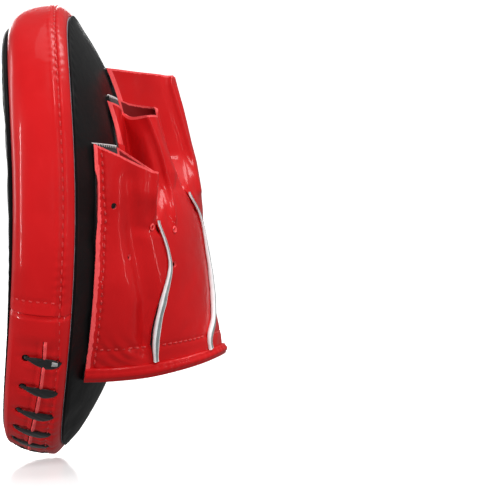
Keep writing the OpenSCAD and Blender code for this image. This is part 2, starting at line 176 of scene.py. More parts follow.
def outline(a):
    """The pad's seam outline (x, row) at an angle."""
    s, c = sind(a), cosd(a)
    n = np.where(s >= 0, top_power, bottom_power)
    across = pad_half_w * pw(c, 2 / n) * (1 + top_flare * s)
    up = np.where(s >= 0, pad_top, pad_bottom) * pw(s, 2 / n)
    return np.stack([across, up], -1)


def outline_out(a):
    d = outline(a + 0.7) - outline(a - 0.7)
    return unit(np.stack([d[..., 1], -d[..., 0]], -1))


def bow(x, off, s):
    """A point of the flat pad on the bowed one."""
    a = (s - bow_mid) / bow_r
    x, off, a = np.broadcast_arrays(x, off, a)
    y = (bow_r + off) * np.cos(a) - bow_r + pad_y
    z = (bow_r + off) * np.sin(a) + bow_mid + pad_z
    return np.stack([x, y, z], -1)


def half_width(s):
    """Width of the seam outline either side of the middle, and its power, at a row."""
    n = np.where(s >= 0, top_power, bottom_power)
    b = np.where(s >= 0, pad_top, pad_bottom)
    return pad_half_w * (1 + top_flare * np.abs(s / b) ** (n / 2) * np.sign(s)), n, b


def reach(x, s):
    """How far out a flat point lies: 0 in the middle, 1 on the seam outline."""
    w, n, b = half_width(s)
    return (np.abs(x / w) ** n + np.abs(s / b) ** n) ** (1 / n)


def strike_dome(r):
    return strike_swell * np.maximum(0, 1 - r ** 3.4) ** 0.4


def strike_lift(s):
    """Share of the strike face's swell at a row: it lies flush at the bottom."""
    return mix(0.12, 1.0, smooth((s + 95) / 170))


def hand_dome(r):
    return hand_swell * np.maximum(0, 1 - r ** 2.8) ** 1.15


def on_back(x, s, lift):
    off = band_w / 2 + skin_t + hand_dome(np.minimum(1, reach(x, s)))
    return bow(x, off + lift, s)


def edge_x(s):
    """Where the glove's side edge stands on the pad, at a row."""
    w, n, b = half_width(s)
    return w * (1 - np.abs(s / b) ** n) ** (1 / n) - glove_inset


# Distance along the outline at each angle, for evenly spaced points and stitches
LAP = np.linspace(-270, 270, 4321)
steps = np.linalg.norm(np.diff(outline(LAP), axis=0), axis=1)
ALONG = np.concatenate([[0], np.cumsum(steps)])


def along(a):
    return np.interp(a, LAP, ALONG)


def even_angles(a0, a1, step):
    """Angles from a0 to a1 that lie about step millimetres apart along the outline."""
    lengths = np.linspace(along(a0), along(a1), max(2, int(abs(along(a1) - along(a0)) / step)))
    return np.interp(lengths, ALONG, LAP)


# ---- mesh building ------------------------------------------------------------------------

def new_mesh(name, points, faces, materials, slots=None):
    """A smooth mesh from points in millimetres; slots gives each face its material's number."""
    mesh = bpy.data.meshes.new(name)
    mesh.from_pydata((np.asarray(points) * MM).tolist(), [], faces)
    for m in materials:
        mesh.materials.append(m)
    if slots is not None:
        mesh.polygons.foreach_set("material_index", np.asarray(slots, np.int32))
    mesh.shade_smooth()
    return mesh


def make_mesh(name, points, faces, materials, slots=None):
    """A mesh object, checked, and linked to the scene."""
    mesh = new_mesh(name, points, [list(map(int, f)) for f in faces], materials, slots)
    mesh.validate()
    obj = bpy.data.objects.new(name, mesh)
    bpy.context.scene.collection.objects.link(obj)
    return obj


def grid_faces(rows, cols, wrap=False, flip=False):
    """Quads over a grid of points, whose last column joins the first if it wraps."""
    i = np.arange(rows - 1)[:, None]
    j = np.arange(cols if wrap else cols - 1)[None, :]
    k = (j + 1) % cols
    quads = np.stack([i * cols + j, (i + 1) * cols + j, (i + 1) * cols + k, i * cols + k], -1)
    quads = quads.reshape(-1, 4)
    return quads[:, ::-1] if flip else quads


def grid_normals(P):
    """Unit normals of a grid of points, along (down the rows) x (along the columns)."""
    return unit(np.cross(np.gradient(P, axis=0), np.gradient(P, axis=1)))


def mesh_points(mesh):
    """A mesh's points in millimetres."""
    flat = np.empty(len(mesh.vertices) * 3)
    mesh.vertices.foreach_get("co", flat)
    return flat.reshape(-1, 3) / MM


def thicken(obj, thickness, inner=0, rim=0):
    """Closes a sheet into a solid: an inner face a thickness behind it, and its cut edges. inner
    and rim are the numbers of their materials, and a face painted as rim has it on both sides."""
    sheet = obj.data
    points = mesh_points(sheet)
    count = len(points)
    normals = np.array([n.vector[:] for n in sheet.vertex_normals])
    outer = [list(f.vertices) for f in sheet.polygons]
    slots = [f.material_index for f in sheet.polygons]
    directed = {(f[i], f[(i + 1) % len(f)]) for f in outer for i in range(len(f))}
    border = sorted(e for e in directed if (e[1], e[0]) not in directed)
    faces = outer + [[v + count for v in f[::-1]] for f in outer]
    faces += [[b, a, a + count, b + count] for a, b in border]
    slots += [rim if rim and slot == rim else inner for slot in slots] + [rim] * len(border)
    both = np.concatenate([points, points - normals * thickness])
    obj.data = new_mesh(obj.name, both, faces, sheet.materials, slots)
    obj.data.set_sharp_from_angle(angle=math.radians(60))
    return obj


def finish_piece(obj, slot, *nodes):
    """Rides the piece on the part, and hides the CAD nodes that it stands for."""
    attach(obj, BODY)
    if nodes:
        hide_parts(*nodes)
    return obj


def punch(P, holes, keep):
    """Opens round holes in a grid: drops the faces inside each and draws its rim round.
    A hole is (centre point, radius); keep says which grid faces stay."""
    rows, cols = P.shape[:2]
    for centre, radius in holes:
        centre = np.asarray(centre, float)
        d = np.linalg.norm(P - centre, axis=-1)
        inside = d < radius
        dead = inside[:-1, :-1] | inside[1:, :-1] | inside[:-1, 1:] | inside[1:, 1:]
        keep &= ~dead
        touched = np.zeros((rows, cols), bool)
        touched[:-1, :-1] |= dead
        touched[1:, :-1] |= dead
        touched[:-1, 1:] |= dead
        touched[1:, 1:] |= dead
        rim = touched & ~inside
        away = P[rim] - centre
        P[rim] = centre + unit(away) * radius * 1.05
    return keep


def grid_piece(name, P, materials, holes=(), flip=False, wrap=False, slots=0, keep=True):
    """A sheet over a grid of points, with round holes; keep and slots say, for each face of the
    grid, whether it stays and which material it has."""
    rows, cols = P.shape[:2]
    shape = (rows - 1, cols if wrap else cols - 1)
    chosen = punch(P, holes, np.broadcast_to(keep, shape).copy()).reshape(-1)
    faces = grid_faces(rows, cols, wrap, flip)[chosen]
    index = np.broadcast_to(slots, shape).reshape(-1)[chosen]
    obj = make_mesh(name, P.reshape(-1, 3), faces, materials, index)
    drop_loose(obj)
    return obj


def shell(name, P, materials, out, thickness, inner=0, rim=0):
    """A closed sheet over a grid of points, its outer face looking the way that out does."""
    obj = grid_piece(name, P, materials)
    face_out(obj, out)
    return thicken(obj, thickness, inner, rim)


def face_out(obj, n):
    """Turns a sheet's faces so that they look the way its outward directions do."""
    mesh = obj.data
    wanted = Vector(n.reshape(-1, 3).mean(0))
    total = sum((f.normal.dot(wanted) * f.area for f in mesh.polygons), 0.0)
    if total < 0:
        mesh.flip_normals()


def edit(obj, change):
    """Runs one change on a mesh, given as a function of its bmesh."""
    bm = bmesh.new()
    bm.from_mesh(obj.data)
    change(bm)
    bm.to_mesh(obj.data)
    bm.free()


def drop_loose(obj):
    """Removes the points that no face uses."""
    edit(obj, lambda bm: bmesh.ops.delete(bm, geom=[v for v in bm.verts if not v.link_faces],
                                          context="VERTS"))


def recalc(obj):
    """Turns a closed mesh's faces outwards."""
    edit(obj, lambda bm: bmesh.ops.recalc_face_normals(bm, faces=bm.faces))


def weld(obj, reach_mm=0.001):
    """Joins points that lie in the same place, or within a reach."""
    edit(obj, lambda bm: bmesh.ops.remove_doubles(bm, verts=bm.verts, dist=reach_mm * MM))


def join_up(obj, others):
    """Joins meshes into obj."""
    bpy.ops.object.select_all(action="DESELECT")
    for o in others + [obj]:
        o.select_set(True)
    bpy.context.view_layer.objects.active = obj
    bpy.ops.object.join()
    return obj


# ---- materials ----------------------------------------------------------------------------

class Nodes:
    """A small material builder: each method adds a node and returns its output socket."""

    def __init__(self, name):
        self.material = bpy.data.materials.new(name)
        self.material.use_nodes = True
        self.tree = self.material.node_tree
        self.tree.nodes.clear()
        self.shader = self.tree.nodes.new("ShaderNodeBsdfPrincipled")
        out = self.tree.nodes.new("ShaderNodeOutputMaterial")
        self.tree.links.new(self.shader.outputs[0], out.inputs["Surface"])
        self.place = self.tree.nodes.new("ShaderNodeTexCoord").outputs["Object"]

    def add(self, kind, sockets=None, **settings):
        node = self.tree.nodes.new(kind)
        for key, value in settings.items():
            setattr(node, key, value)
        for key, value in (sockets or {}).items():
            self.plug(node.inputs[key], value)
        return node

    def plug(self, socket, value):
        if isinstance(value, bpy.types.NodeSocket):
            self.tree.links.new(value, socket)
        else:
            socket.default_value = value

    def noise(self, size_mm, detail=2.0, roughness=0.5, distortion=0.0, stretch=(1, 1, 1)):
        scaled = self.add("ShaderNodeVectorMath", {0: self.place, 1: stretch}, operation="MULTIPLY")
        node = self.add("ShaderNodeTexNoise", {
            "Vector": scaled.outputs[0], "Scale": 1 / (size_mm * MM), "Detail": detail,
            "Roughness": roughness, "Distortion": distortion})
        return node.outputs["Fac"]

    def cells(self, size_mm, feature="F1"):
        node = self.add("ShaderNodeTexVoronoi", {
            "Vector": self.place, "Scale": 1 / (size_mm * MM)}, feature=feature)
        return node.outputs["Distance"]

    def bands(self, size_mm, direction, distortion=0.0):
        node = self.add("ShaderNodeTexWave", {
            "Vector": self.place, "Scale": 1 / (size_mm * MM) / math.tau, "Distortion": distortion},
            bands_direction=direction)
        return node.outputs["Fac"]

    def span(self, fac, low, high, to_low, to_high):
        node = self.add("ShaderNodeMapRange", {
            "Value": fac, "From Min": low, "From Max": high, "To Min": to_low, "To Max": to_high})
        return node.outputs["Result"]

    def ramp(self, fac, low, high, first, last):
        """A colour that goes from first to last as fac goes from low to high."""
        return self.blend(self.span(fac, low, high, 0.0, 1.0), first, last)

    def blend(self, fac, first, last):
        """A mix of two colours, each a socket or three numbers."""
        node = self.add("ShaderNodeMix", {"Factor": fac}, data_type="RGBA")
        for i, value in ((6, first), (7, last)):
            self.plug(node.inputs[i], value if isinstance(value, bpy.types.NodeSocket) else (*value, 1))
        return node.outputs[2]

    def math(self, operation, a, b=0.0):
        return self.add("ShaderNodeMath", {0: a, 1: b}, operation=operation).outputs[0]

    def bump(self, height, depth_mm, strength=1.0, below=None):
        sockets = {"Height": height, "Strength": strength, "Distance": depth_mm * MM}
        if below is not None:
            sockets["Normal"] = below
        return self.add("ShaderNodeBump", sockets).outputs["Normal"]

    def set(self, **values):
        names = {"colour": "Base Color", "rough": "Roughness", "normal": "Normal",
                 "coat": "Coat Weight", "coat_rough": "Coat Roughness", "sheen": "Sheen Weight",
                 "sheen_rough": "Sheen Roughness", "specular": "Specular IOR Level",
                 "scatter": "Subsurface Weight"}
        for key, value in values.items():
            self.plug(self.shader.inputs[names[key]], value)
        return self.material


def leather(name, colour, deep, rough, coat, coat_rough=0.22, grain_mm=0.75, specular=0.5):
    """Coated artificial leather: fine pebble grain under a soft shine, with faint scuffs."""
    n = Nodes(name)
    clouds = n.noise(42, detail=3)
    scuffs = n.noise(9, detail=5, roughness=0.62, distortion=0.6)
    tone = n.ramp(clouds, 0.3, 0.72, deep, colour)
    worn = n.span(scuffs, 0.6, 0.82, 0.0, 0.16)
    lighter = tuple(min(1.0, c * 1.25 + 0.012) for c in colour)
    pebbles = n.cells(grain_mm, "SMOOTH_F1")
    creases = n.noise(2.6, detail=4, roughness=0.6)
    normal = n.bump(pebbles, 0.035, 0.55)
    normal = n.bump(creases, 0.12, 0.3, below=normal)
    roughness = n.span(scuffs, 0.3, 0.8, rough - 0.05, rough + 0.12)
    return n.set(colour=n.blend(worn, tone, lighter), rough=roughness, normal=normal,
                 coat=coat, coat_rough=coat_rough, specular=specular)


def cloth(name, colour, deep, pitch_mm, sheen=0.4):
    """Plain woven cloth, threads along X and Z."""
    n = Nodes(name)
    warp = n.bands(pitch_mm, "X", 0.4)
    weft = n.bands(pitch_mm, "Z", 0.4)
    weave = n.math("MULTIPLY", warp, weft)
    fuzz = n.noise(1.2, detail=4, roughness=0.7)
    tone = n.ramp(weave, 0.1, 0.8, deep, colour)
    dust = n.span(fuzz, 0.55, 0.85, 0.0, 0.3)
    lighter = tuple(min(1.0, c * 1.8 + 0.01) for c in colour)
    normal = n.bump(weave, 0.18, 0.7)
    normal = n.bump(fuzz, 0.1, 0.3, below=normal)
    return n.set(colour=n.blend(dust, tone, lighter), rough=n.span(fuzz, 0, 1, 0.75, 0.95),
                 normal=normal, sheen=sheen, sheen_rough=0.4)


def ribbed(name, colour, deep, pitch_mm):
    """Elastic web: cords side by side, under crosswise threads."""
    n = Nodes(name)
    cords = n.bands(pitch_mm, "Z", 0.3)
    cross = n.bands(pitch_mm * 0.45, "X", 0.6)
    tone = n.ramp(cords, 0.1, 0.9, deep, colour)
    normal = n.bump(cords, 0.35, 0.8)
    normal = n.bump(cross, 0.08, 0.5, below=normal)
    return n.set(colour=tone, rough=n.span(cross, 0, 1, 0.65, 0.85), normal=normal, sheen=0.3)


def fibrous(name, colour, deep, noise_kind, strength, **looks):
    """Rough grain in two tones, as on thread and on cut edges; noise_kind sets the grain."""
    n = Nodes(name)
    grain = n.noise(**noise_kind)
    return n.set(colour=n.ramp(grain, 0.3, 0.7, deep, colour), rough=n.span(grain, 0.3, 0.7, 0.35, 0.6),
                 normal=n.bump(grain, 0.12, strength), **looks)


def thread(name, colour, deep):
    """Twisted sewing thread."""
    twist = {"size_mm": 0.5, "detail": 2, "stretch": (1.4, 1.0, 0.8)}
    return fibrous(name, colour, deep, twist, 0.6, sheen=0.25, sheen_rough=0.35)


def foam(name, colour, deep, cell_mm):
    """Closed-cell foam, with cut cells at its surface."""
    n = Nodes(name)
    pits = n.cells(cell_mm)
    tone = n.ramp(pits, 0.1, 0.6, deep, colour)
    return n.set(colour=tone, rough=n.span(pits, 0, 0.6, 0.95, 0.8), normal=n.bump(pits, 0.3, 0.8))


def piping_skin(name, colour, deep, rough):
    """Thin coated skin drawn over the piping's cord, lightly rumpled and marked."""
    n = Nodes(name)
    marks = n.noise(3.5, detail=4, roughness=0.6)
    rumple = n.noise(1.6, detail=3, stretch=(1, 1, 0.5))
    tone = n.ramp(marks, 0.35, 0.75, colour, deep)
    return n.set(colour=tone, rough=n.span(marks, 0.3, 0.8, rough, rough + 0.2),
                 normal=n.bump(rumple, 0.18, 0.45), coat=0.35, coat_rough=0.2)


def cut_edge_and_highlight(name, colour, deep):
    """The cut edge of coated leather, where the paint layer and the backing show. Its pale colour is also
    laid on strips of the outer face, where it is painted highlight.
    """
    layers = {"size_mm": 0.9, "detail": 3, "roughness": 0.6, "stretch": (1, 1, 0.35)}
    return fibrous(name, colour, deep, layers, 0.5)


def waxed_lace(name, colour, deep):
    """Flat braided lace with a wax finish."""
    n = Nodes(name)
    braid = n.bands(1.1, "DIAGONAL", 1.2)
    wax = n.noise(2.5, detail=4)
    tone = n.ramp(wax, 0.3, 0.75, deep, colour)
    normal = n.bump(braid, 0.15, 0.6)
    return n.set(colour=tone, rough=n.span(wax, 0.3, 0.7, 0.42, 0.68), normal=normal, sheen=0.15)


RED = leather("red_leather", (0.62, 0.0105, 0.0125), (0.53, 0.007, 0.0085), 0.36, 0.22,
              coat_rough=0.07, specular=0.13)
BLACK = leather("black_leather", (0.0060, 0.0063, 0.0066), (0.0034, 0.0036, 0.0039), 0.45, 0.05,
                coat_rough=0.25, grain_mm=0.9, specular=0.13)
RED_BACK = leather("leather_backing", (0.30, 0.006, 0.007), (0.18, 0.003, 0.004), 0.6, 0.0)
# Pale red of the leather's cut edges. The same colour on strips of the outer face (sleeve edges and open
# ends, the slit's lip, the crease rings) is painted highlight.
RED_EDGE_AND_HIGHLIGHT = cut_edge_and_highlight("leather_cut_edge_and_painted_highlight", (1.0, 0.11, 0.115), (0.85, 0.065, 0.07))
RED_THREAD = thread("red_thread", (0.75, 0.05, 0.05), (0.45, 0.015, 0.015))
WHITE_THREAD = thread("white_thread", (0.78, 0.74, 0.73), (0.52, 0.46, 0.46))
WHITE_PIPING = piping_skin("white_piping", (0.96, 0.95, 0.95), (0.80, 0.79, 0.80), 0.25)
# A grey stripe along the crown of the white piping.
GREY_PIPING = piping_skin("grey_piping_crown", (0.27, 0.31, 0.31), (0.17, 0.20, 0.20), 0.3)
PALM_CLOTH = cloth("palm_cloth", (0.009, 0.009, 0.0095), (0.003, 0.003, 0.0033), 0.8, sheen=0.1)
LINING = cloth("lining_cloth", (0.03, 0.03, 0.032), (0.012, 0.012, 0.013), 0.6)
BACKING = cloth("backing_cloth", (0.02, 0.02, 0.02), (0.008, 0.008, 0.008), 0.7)
ELASTIC = ribbed("elastic_web", (0.05, 0.05, 0.05), (0.02, 0.02, 0.02), 1.6)
FOAM_SOFT = foam("foam_soft", (0.33, 0.33, 0.37), (0.2, 0.2, 0.23), 0.9)
FOAM_FIRM = foam("foam_firm", (0.58, 0.52, 0.34), (0.4, 0.35, 0.2), 0.6)
GREY_TIP = piping_skin("lace_tip", (0.42, 0.43, 0.43), (0.28, 0.29, 0.29), 0.35)
LACE = waxed_lace("lace_cord", (0.011, 0.011, 0.012), (0.004, 0.004, 0.0045))

# The red leather's three materials, and their numbers: outer face, backing, and the pale cut edge, which
# also serves as painted highlight
LEATHER = [RED, RED_BACK, RED_EDGE_AND_HIGHLIGHT]
OUTER, INNER, EDGE_AND_HIGHLIGHT = 0, 1, 2


# ---- camera, light and floor --------------------------------------------------------------

def look():
    """Camera level with the mitt, square to its little-finger side, and soft studio light."""
    scene = bpy.context.scene
    scene.view_settings.view_transform = "Standard"

    camera = bpy.data.cameras.new("camera")
    focal_share = 3.24  # focal length as a share of the picture's width
    camera.sensor_width = 36.0
    camera.lens = camera.sensor_width * focal_share
    eye = bpy.data.objects.new("camera", camera)
    eye.location = Vector((894.0, 102.0 + pad_y, -13.6 + pad_z)) * MM
    eye.rotation_euler = (math.radians(90), 0, math.radians(90))
    scene.collection.objects.link(eye)
    scene.camera = eye

    world = bpy.data.worlds.new("studio")
    world.use_nodes = True
    world.node_tree.nodes["Background"].inputs[0].default_value = (1, 1, 1, 1)
    world.node_tree.nodes["Background"].inputs[1].default_value = 0.2
    scene.world = world

    target = Vector((0.0, 0.0, 0.13))
    lights = [
        # name, place in metres, size, power, whether it shows as a highlight
        ("key", (1.1, 0.75, 1.6), (0.6, 0.6), 16.0, True),
        ("fill", (1.6, 0.3, 0.3), (0.5, 0.6), 12.0, False),
        ("edge", (0.9, -1.3, 0.22), (0.1, 0.9), 12.0, True),
        ("rim", (0.5, 1.5, 0.25), (0.06, 0.9), 3.0, True),
        ("strike", (-0.6, -1.6, 0.6), (0.5, 1.0), 9.0, True),
        ("hand", (-0.5, 1.0, 1.6), (0.6, 0.8), 12.0, True),
        ("top", (0.0, 0.1, 1.6), (1.0, 1.0), 4.0, True),
        ("far", (-1.5, -0.4, 0.6), (0.8, 0.8), 12.0, True),
    ]
    for name, place, size, power, shows in lights:
        lamp = bpy.data.lights.new(name, "AREA")
        lamp.shape = "RECTANGLE"
        lamp.size, lamp.size_y = size
        lamp.energy = power
        holder = bpy.data.objects.new(name, lamp)
        holder.location = place
        holder.visible_glossy = shows
        holder.rotation_euler = (target - Vector(place)).to_track_quat("-Z", "Y").to_euler()
        scene.collection.objects.link(holder)


def floor():
    """A pale sweep: a floor that curves up far behind on every side."""
    n = Nodes("floor")
    stain = n.noise(160, detail=2)
    n.set(colour=n.ramp(stain, 0.3, 0.7, (0.93, 0.93, 0.93), (0.95, 0.95, 0.95)),
          rough=n.span(stain, 0.3, 0.7, 0.16, 0.2), specular=0.35)
    n.plug(n.shader.inputs["Emission Color"], (1, 1, 1, 1))
    from_middle = n.add("ShaderNodeVectorMath", {0: n.place}, operation="LENGTH").outputs["Value"]
    n.plug(n.shader.inputs["Emission Strength"], n.span(from_middle, 0.25, 1.6, 0.38, 0.95))
    turns = 96
    profile = [(0, 0), (900, 0), (2200, 0)]
    sweep_r, flat_r, rise = 1600, 2200, 10
    profile += [(flat_r + sweep_r * math.sin(t), sweep_r * (1 - math.cos(t)))
                for t in np.linspace(0, math.pi / 2, rise)[1:]]
    profile += [(flat_r + sweep_r, 5200)]
    rows = [[(r * math.cos(a), r * math.sin(a), z) for a in np.linspace(0, math.tau, turns, False)]
            for r, z in profile]
    P = np.array(rows)
    obj = make_mesh("floor", P.reshape(-1, 3), grid_faces(len(profile), turns, wrap=True), [n.material])
    obj.visible_diffuse = False
    obj.visible_glossy = False


look()
floor()


# ---- the edge band ------------------------------------------------------------------------

half_band = band_w / 2
slit_x = slit_w * half_band
lip_w = 1.7
crossings = [-90 + k * lace_step for k in range(-lace_pairs, lace_pairs + 1)]
stitch_d = 0.8
topstitch_pitch = 4.6
slit_half = 90 + slit_angle  # half the slit's length, as an outline angle


def band_out(w):
    """How far the band bulges past the seam outline at a share w of its half width."""
    return band_swell * np.maximum(0, 1 - np.abs(w) ** 3) ** 0.55


def lace_sink(a, w):
    """How far the lace pulls the band in along the slit."""
    laced = smooth((slit_half + 2 - np.abs(a + 90)) / 5)
    return lace_pull * laced * np.maximum(0, 1 - (np.abs(w) / 0.8) ** 6)


def band_point(a, w, depth):
    """A point of the band, a depth under its plain outer face."""
    a, w, depth = np.broadcast_arrays(a, w, depth)
    p = outline(a) + outline_out(a) * (band_out(w) - depth - lace_sink(a, w))[..., None]
    return bow(p[..., 0], w * (half_band - gap), p[..., 1])


def slit_lean(a):
    """How far the laced stretch leans over to the strike side, as a share of half the band."""
    away = np.abs(a + 90)
    return mix(-0.24, 0.10, smooth((away - 8) / 50)) * smooth((slit_half + 8 - away) / 8)


def leaned(a, w):
    return w + slit_lean(a) * (1 - w ** 2)


def lace_place(a, side):
    """Outline angle and band share of a lace hole; each crossing slopes down to the hand side."""
    return a - side * lace_slope, slit_w + side * lace_reach / half_band


def near_line(d, a0, reach_mm):
    """How close points lie to the line across the band at an angle, 1 on it."""
    return bump((d - along(a0)) / reach_mm)


def band_relief(a, w):
    """Height that sewing and wear add to the band: grooves, gathers, sags and dents."""
    d, x = along(a), w * half_band
    off_stitch = (w - topstitch_w) * half_band
    h = -0.85 * bump(off_stitch / 0.9) + 0.35 * bump((np.abs(off_stitch) - 2.0) / 1.1)
    h = h + 0.55 * puckers(d, off_stitch, topstitch_pitch, 3.4, 11)
    h = h + 0.3 * puckers(d, (1 - np.abs(w)) * half_band, 5.2, 1.8, 21)
    h = h + 0.5 * noise(d / 34, x / 13 + 3, 5) + 0.14 * noise(d / 9, x / 6, 8)
    return h * (1 - 0.9 * np.abs(w) ** 12)


# Outline angles of the upper band's two ends, and of the stitches across them
LAP_ENDS = (lap_angle, 180 - lap_angle)
LAP_ROWS = (lap_stitch_angle, 180 - lap_stitch_angle)


def lap_relief(a, w):
    """The upper band's ends: a turned edge, a row of stitches across, and small gathers."""
    d, x = along(a), w * half_band
    h = 0
    for end, row in zip(LAP_ENDS, LAP_ROWS):
        h = h + 0.45 * near_line(d, end, 2.2) - 0.5 * near_line(d, row, 0.8)
        h = h + 0.25 * puckers(x, d - along(row), 3.6, 2.6, 31)
    return h * (1 - np.abs(w) ** 8)


def slit_relief(a, w):
    """Turned lips along the slit, and the hollows that the lace presses."""
    d, x = along(a), (w - slit_w) * half_band
    inside = smooth(slit_half - np.abs(a + 90))
    lips = 1.5 * bump((x - 1.0) / 0.9) + 0.3 * bump((x + 1.1) / 0.8) - 0.5 * bump((x + 2.6) / 1.1)
    h = lips * inside * mix(0.35, 1.0, smooth((np.abs(a + 90) - 6) / 14))
    for c in crossings:
        slope = math.radians(lace_slope) * pad_bottom * x / lace_reach
        off = (d - along(c) + slope)
        pressed = np.maximum(0, 1 - (x / (lace_reach + 1.5)) ** 4)
        h = h - 1.5 * bump(off / 2.7) * pressed + 0.35 * bump((np.abs(off) - 4.6) / 1.6) * pressed
        for side in (-1, 1):
            h = h - 0.5 * bump(np.hypot(off, x - side * lace_reach) / 2.4)
            h = h - 0.35 * bump((x - side * (lace_reach + 2.6)) / 1.6) * bump(off / 1.4)
    return h


def band_columns():
    """Shares across the band, closer together at its edges, with the slit's two lips among them."""
    w = np.sin(np.linspace(-1, 1, 92) * math.pi / 2)
    for lip in (slit_x - slit_gap / 2, slit_x + slit_gap / 2):
        w[np.argmin(np.abs(w - lip / half_band))] = lip / half_band
    return w


def band_grid(angles, relief, under=0.0):
    """Points of a band, its long edges turned in behind the seams."""
    w = band_columns()
    tucks = [2.6, 1.2]
    shares = np.concatenate([[w[0] * 0.985] * len(tucks), w, [w[-1] * 0.985] * len(tucks)])
    deeper = np.concatenate([tucks, w * 0, tucks[::-1]])
    a = angles[:, None]
    lift = relief(a, shares[None, :])
    drop = under(a) if callable(under) else under
    return band_point(a, leaned(a, shares[None, :]), deeper[None, :] + drop - lift), shares


def gusset_top():
    """The upper edge band, whose ends lap over the lower one."""
    angles = even_angles(*LAP_ENDS, 1.1)
    P = band_grid(angles, lambda a, w: band_relief(a, w) + lap_relief(a, w))[0]
    obj = grid_piece("gusset_top_leather", P, LEATHER, flip=True)
    thicken(obj, skin_t, inner=INNER, rim=EDGE_AND_HIGHLIGHT)
    finish_piece(obj, "red_leather", "gusset_top_band")


def dip(a):
    """How far the lower band sinks to pass under the upper one."""
    return (skin_t + gap + 0.35) * smooth((a - lap_angle + 1.5) / 1.3)


def gusset_bottom():
    """The lower edge band, with its slit and lace holes."""
    top = lap_angle + lap_under
    angles = even_angles(-180 - top, top, 1.0)
    P, shares = band_grid(angles, lambda a, w: band_relief(a, w) * 0.55 + slit_relief(a, w),
                          under=lambda a: dip(a) + dip(-180 - a))
    holes = []
    for c in crossings:
        for side in (-1, 1):
            a, w = lace_place(c, side)
            i = np.argmin(np.abs(angles - a))
            j = np.argmin(np.abs(shares - w))
            holes.append((P[i, j].copy(), hole_r * 0.92))
    x = (shares[:-1] + shares[1:]) / 2 * half_band - slit_x
    laced = (np.abs((angles[:-1] + angles[1:]) / 2 + 90) < slit_half)[:, None]
    # The lip beside the slit is painted with the pale cut-edge colour: a painted highlight along its raised
    # top.
    lip = laced & (x > slit_gap / 2 - 0.2) & (x < slit_gap / 2 + lip_w)
    obj = grid_piece("gusset_bottom_leather", P, LEATHER, holes, flip=True,
                     slots=np.where(lip, EDGE_AND_HIGHLIGHT, OUTER), keep=~(laced & (np.abs(x) < slit_gap / 2)))
    thicken(obj, skin_t, inner=INNER)
    finish_piece(obj, "red_leather", "gusset_bottom_band")


def slit_strip():
    """Cloth strip behind the slit."""
    angles = even_angles(-180 - slit_angle - 4, slit_angle + 4, 3.0)
    w = np.linspace(-0.7, 0.7, 16)
    P = band_point(angles[:, None], leaned(angles[:, None], w[None, :]), 3.2)
    obj = thicken(grid_piece("slit_strip", P, [BACKING], flip=True), 1.0)
    finish_piece(obj, "backing_cloth", "slit_backing")


# ---- thread and lace ----------------------------------------------------------------------

def resample(line, values, at):
    lengths = np.concatenate([[0], np.cumsum(np.linalg.norm(np.diff(line, axis=0), axis=1))])
    return np.stack([np.interp(at, lengths, values[:, k]) for k in range(values.shape[1])], -1)


def line_length(line):
    return np.linalg.norm(np.diff(line, axis=0), axis=1).sum()


def tube_faces(count, rings, sides):
    """Quads of many tubes of the same rings and sides, their ends left to their tapering."""
    one = grid_faces(rings, sides, wrap=True)
    start = np.arange(count)[:, None, None] * rings * sides
    return (one[None] + start).reshape(-1, 4)


def stitches(name, line, out, pitch, length, nodes, width=stitch_d, sink=0.15):
    """A row of separate stitches along a line, each a short arched thread dipping into the leather."""
    total = line_length(line)
    count = int(total / pitch)
    mids = (np.arange(count) + 0.5) * total / count
    rings, sides = 7, 8
    t = np.linspace(-1, 1, rings)
    at = mids[:, None] + t[None, :] * length / 2
    centre = resample(line, line, at.reshape(-1)).reshape(count, rings, 3)
    up = unit(resample(line, out, at.reshape(-1)).reshape(count, rings, 3))
    ahead = unit(np.gradient(centre, axis=1))
    side = unit(np.cross(ahead, up))
    rise = (width * 0.55) * (1 - t ** 4) - sink - width * 0.9 * np.abs(t) ** 6
    centre = centre + up * rise[None, :, None]
    r = width / 2 * np.sqrt(np.maximum(0.02, 1 - np.abs(t) ** 5))
    angle = np.linspace(0, math.tau, sides, False)
    ring = (side[:, :, None] * np.cos(angle)[None, None, :, None]
            + up[:, :, None] * np.sin(angle)[None, None, :, None] * 0.8)
    P = centre[:, :, None] + ring * r[None, :, None, None]
    obj = make_mesh(name, P.reshape(-1, 3), tube_faces(count, rings, sides)[:, ::-1], [RED_THREAD])
    return finish_piece(obj, "red_thread", *nodes)


def sweep(name, line, up, widths, heights, materials, sides=16, power=2.6, slots=None, groove=0.0):
    """A flattened tube along a line: up is the side that its height lies along, and a groove's
    depth is a share of half the height."""
    ahead = unit(np.gradient(line, axis=0))
    side = unit(np.cross(ahead, up))
    rise = unit(np.cross(side, ahead))
    angle = np.linspace(0, math.tau, sides, False)
    c, s = pw(np.cos(angle), 2 / power), pw(np.sin(angle), 2 / power)
    s = s - groove * bump(c / 0.35) * (s > 0)
    P = (line[:, None] + side[:, None] * (c[None, :, None] * widths[:, None, None] / 2)
         + rise[:, None] * (s[None, :, None] * heights[:, None, None] / 2))
    rows = len(line)
    faces = grid_faces(rows, sides, wrap=True).tolist()
    faces.append(list(range(sides))[::-1])
    faces.append([(rows - 1) * sides + k for k in range(sides)])
    index = None if slots is None else list(slots) * (rows - 1) + [0, 0]
    return make_mesh(name, P.reshape(-1, 3), faces, materials, index)


def curve_through(points, per_span):
    """A smooth line through points, per_span pieces between each pair."""
    p = np.asarray(points, float)
    p = np.concatenate([[2 * p[0] - p[1]], p, [2 * p[-1] - p[-2]]])
    t = np.linspace(0, 1, per_span, False)[:, None]
    out = []
    for k in range(1, len(p) - 2):
        a, b, c, d = p[k - 1], p[k], p[k + 1], p[k + 2]
        out.append(0.5 * (2 * b + (c - a) * t + (2 * a - 5 * b + 4 * c - d) * t ** 2
                          + (3 * b - a - 3 * c + d) * t ** 3))
    return np.concatenate(out + [p[-2][None]])


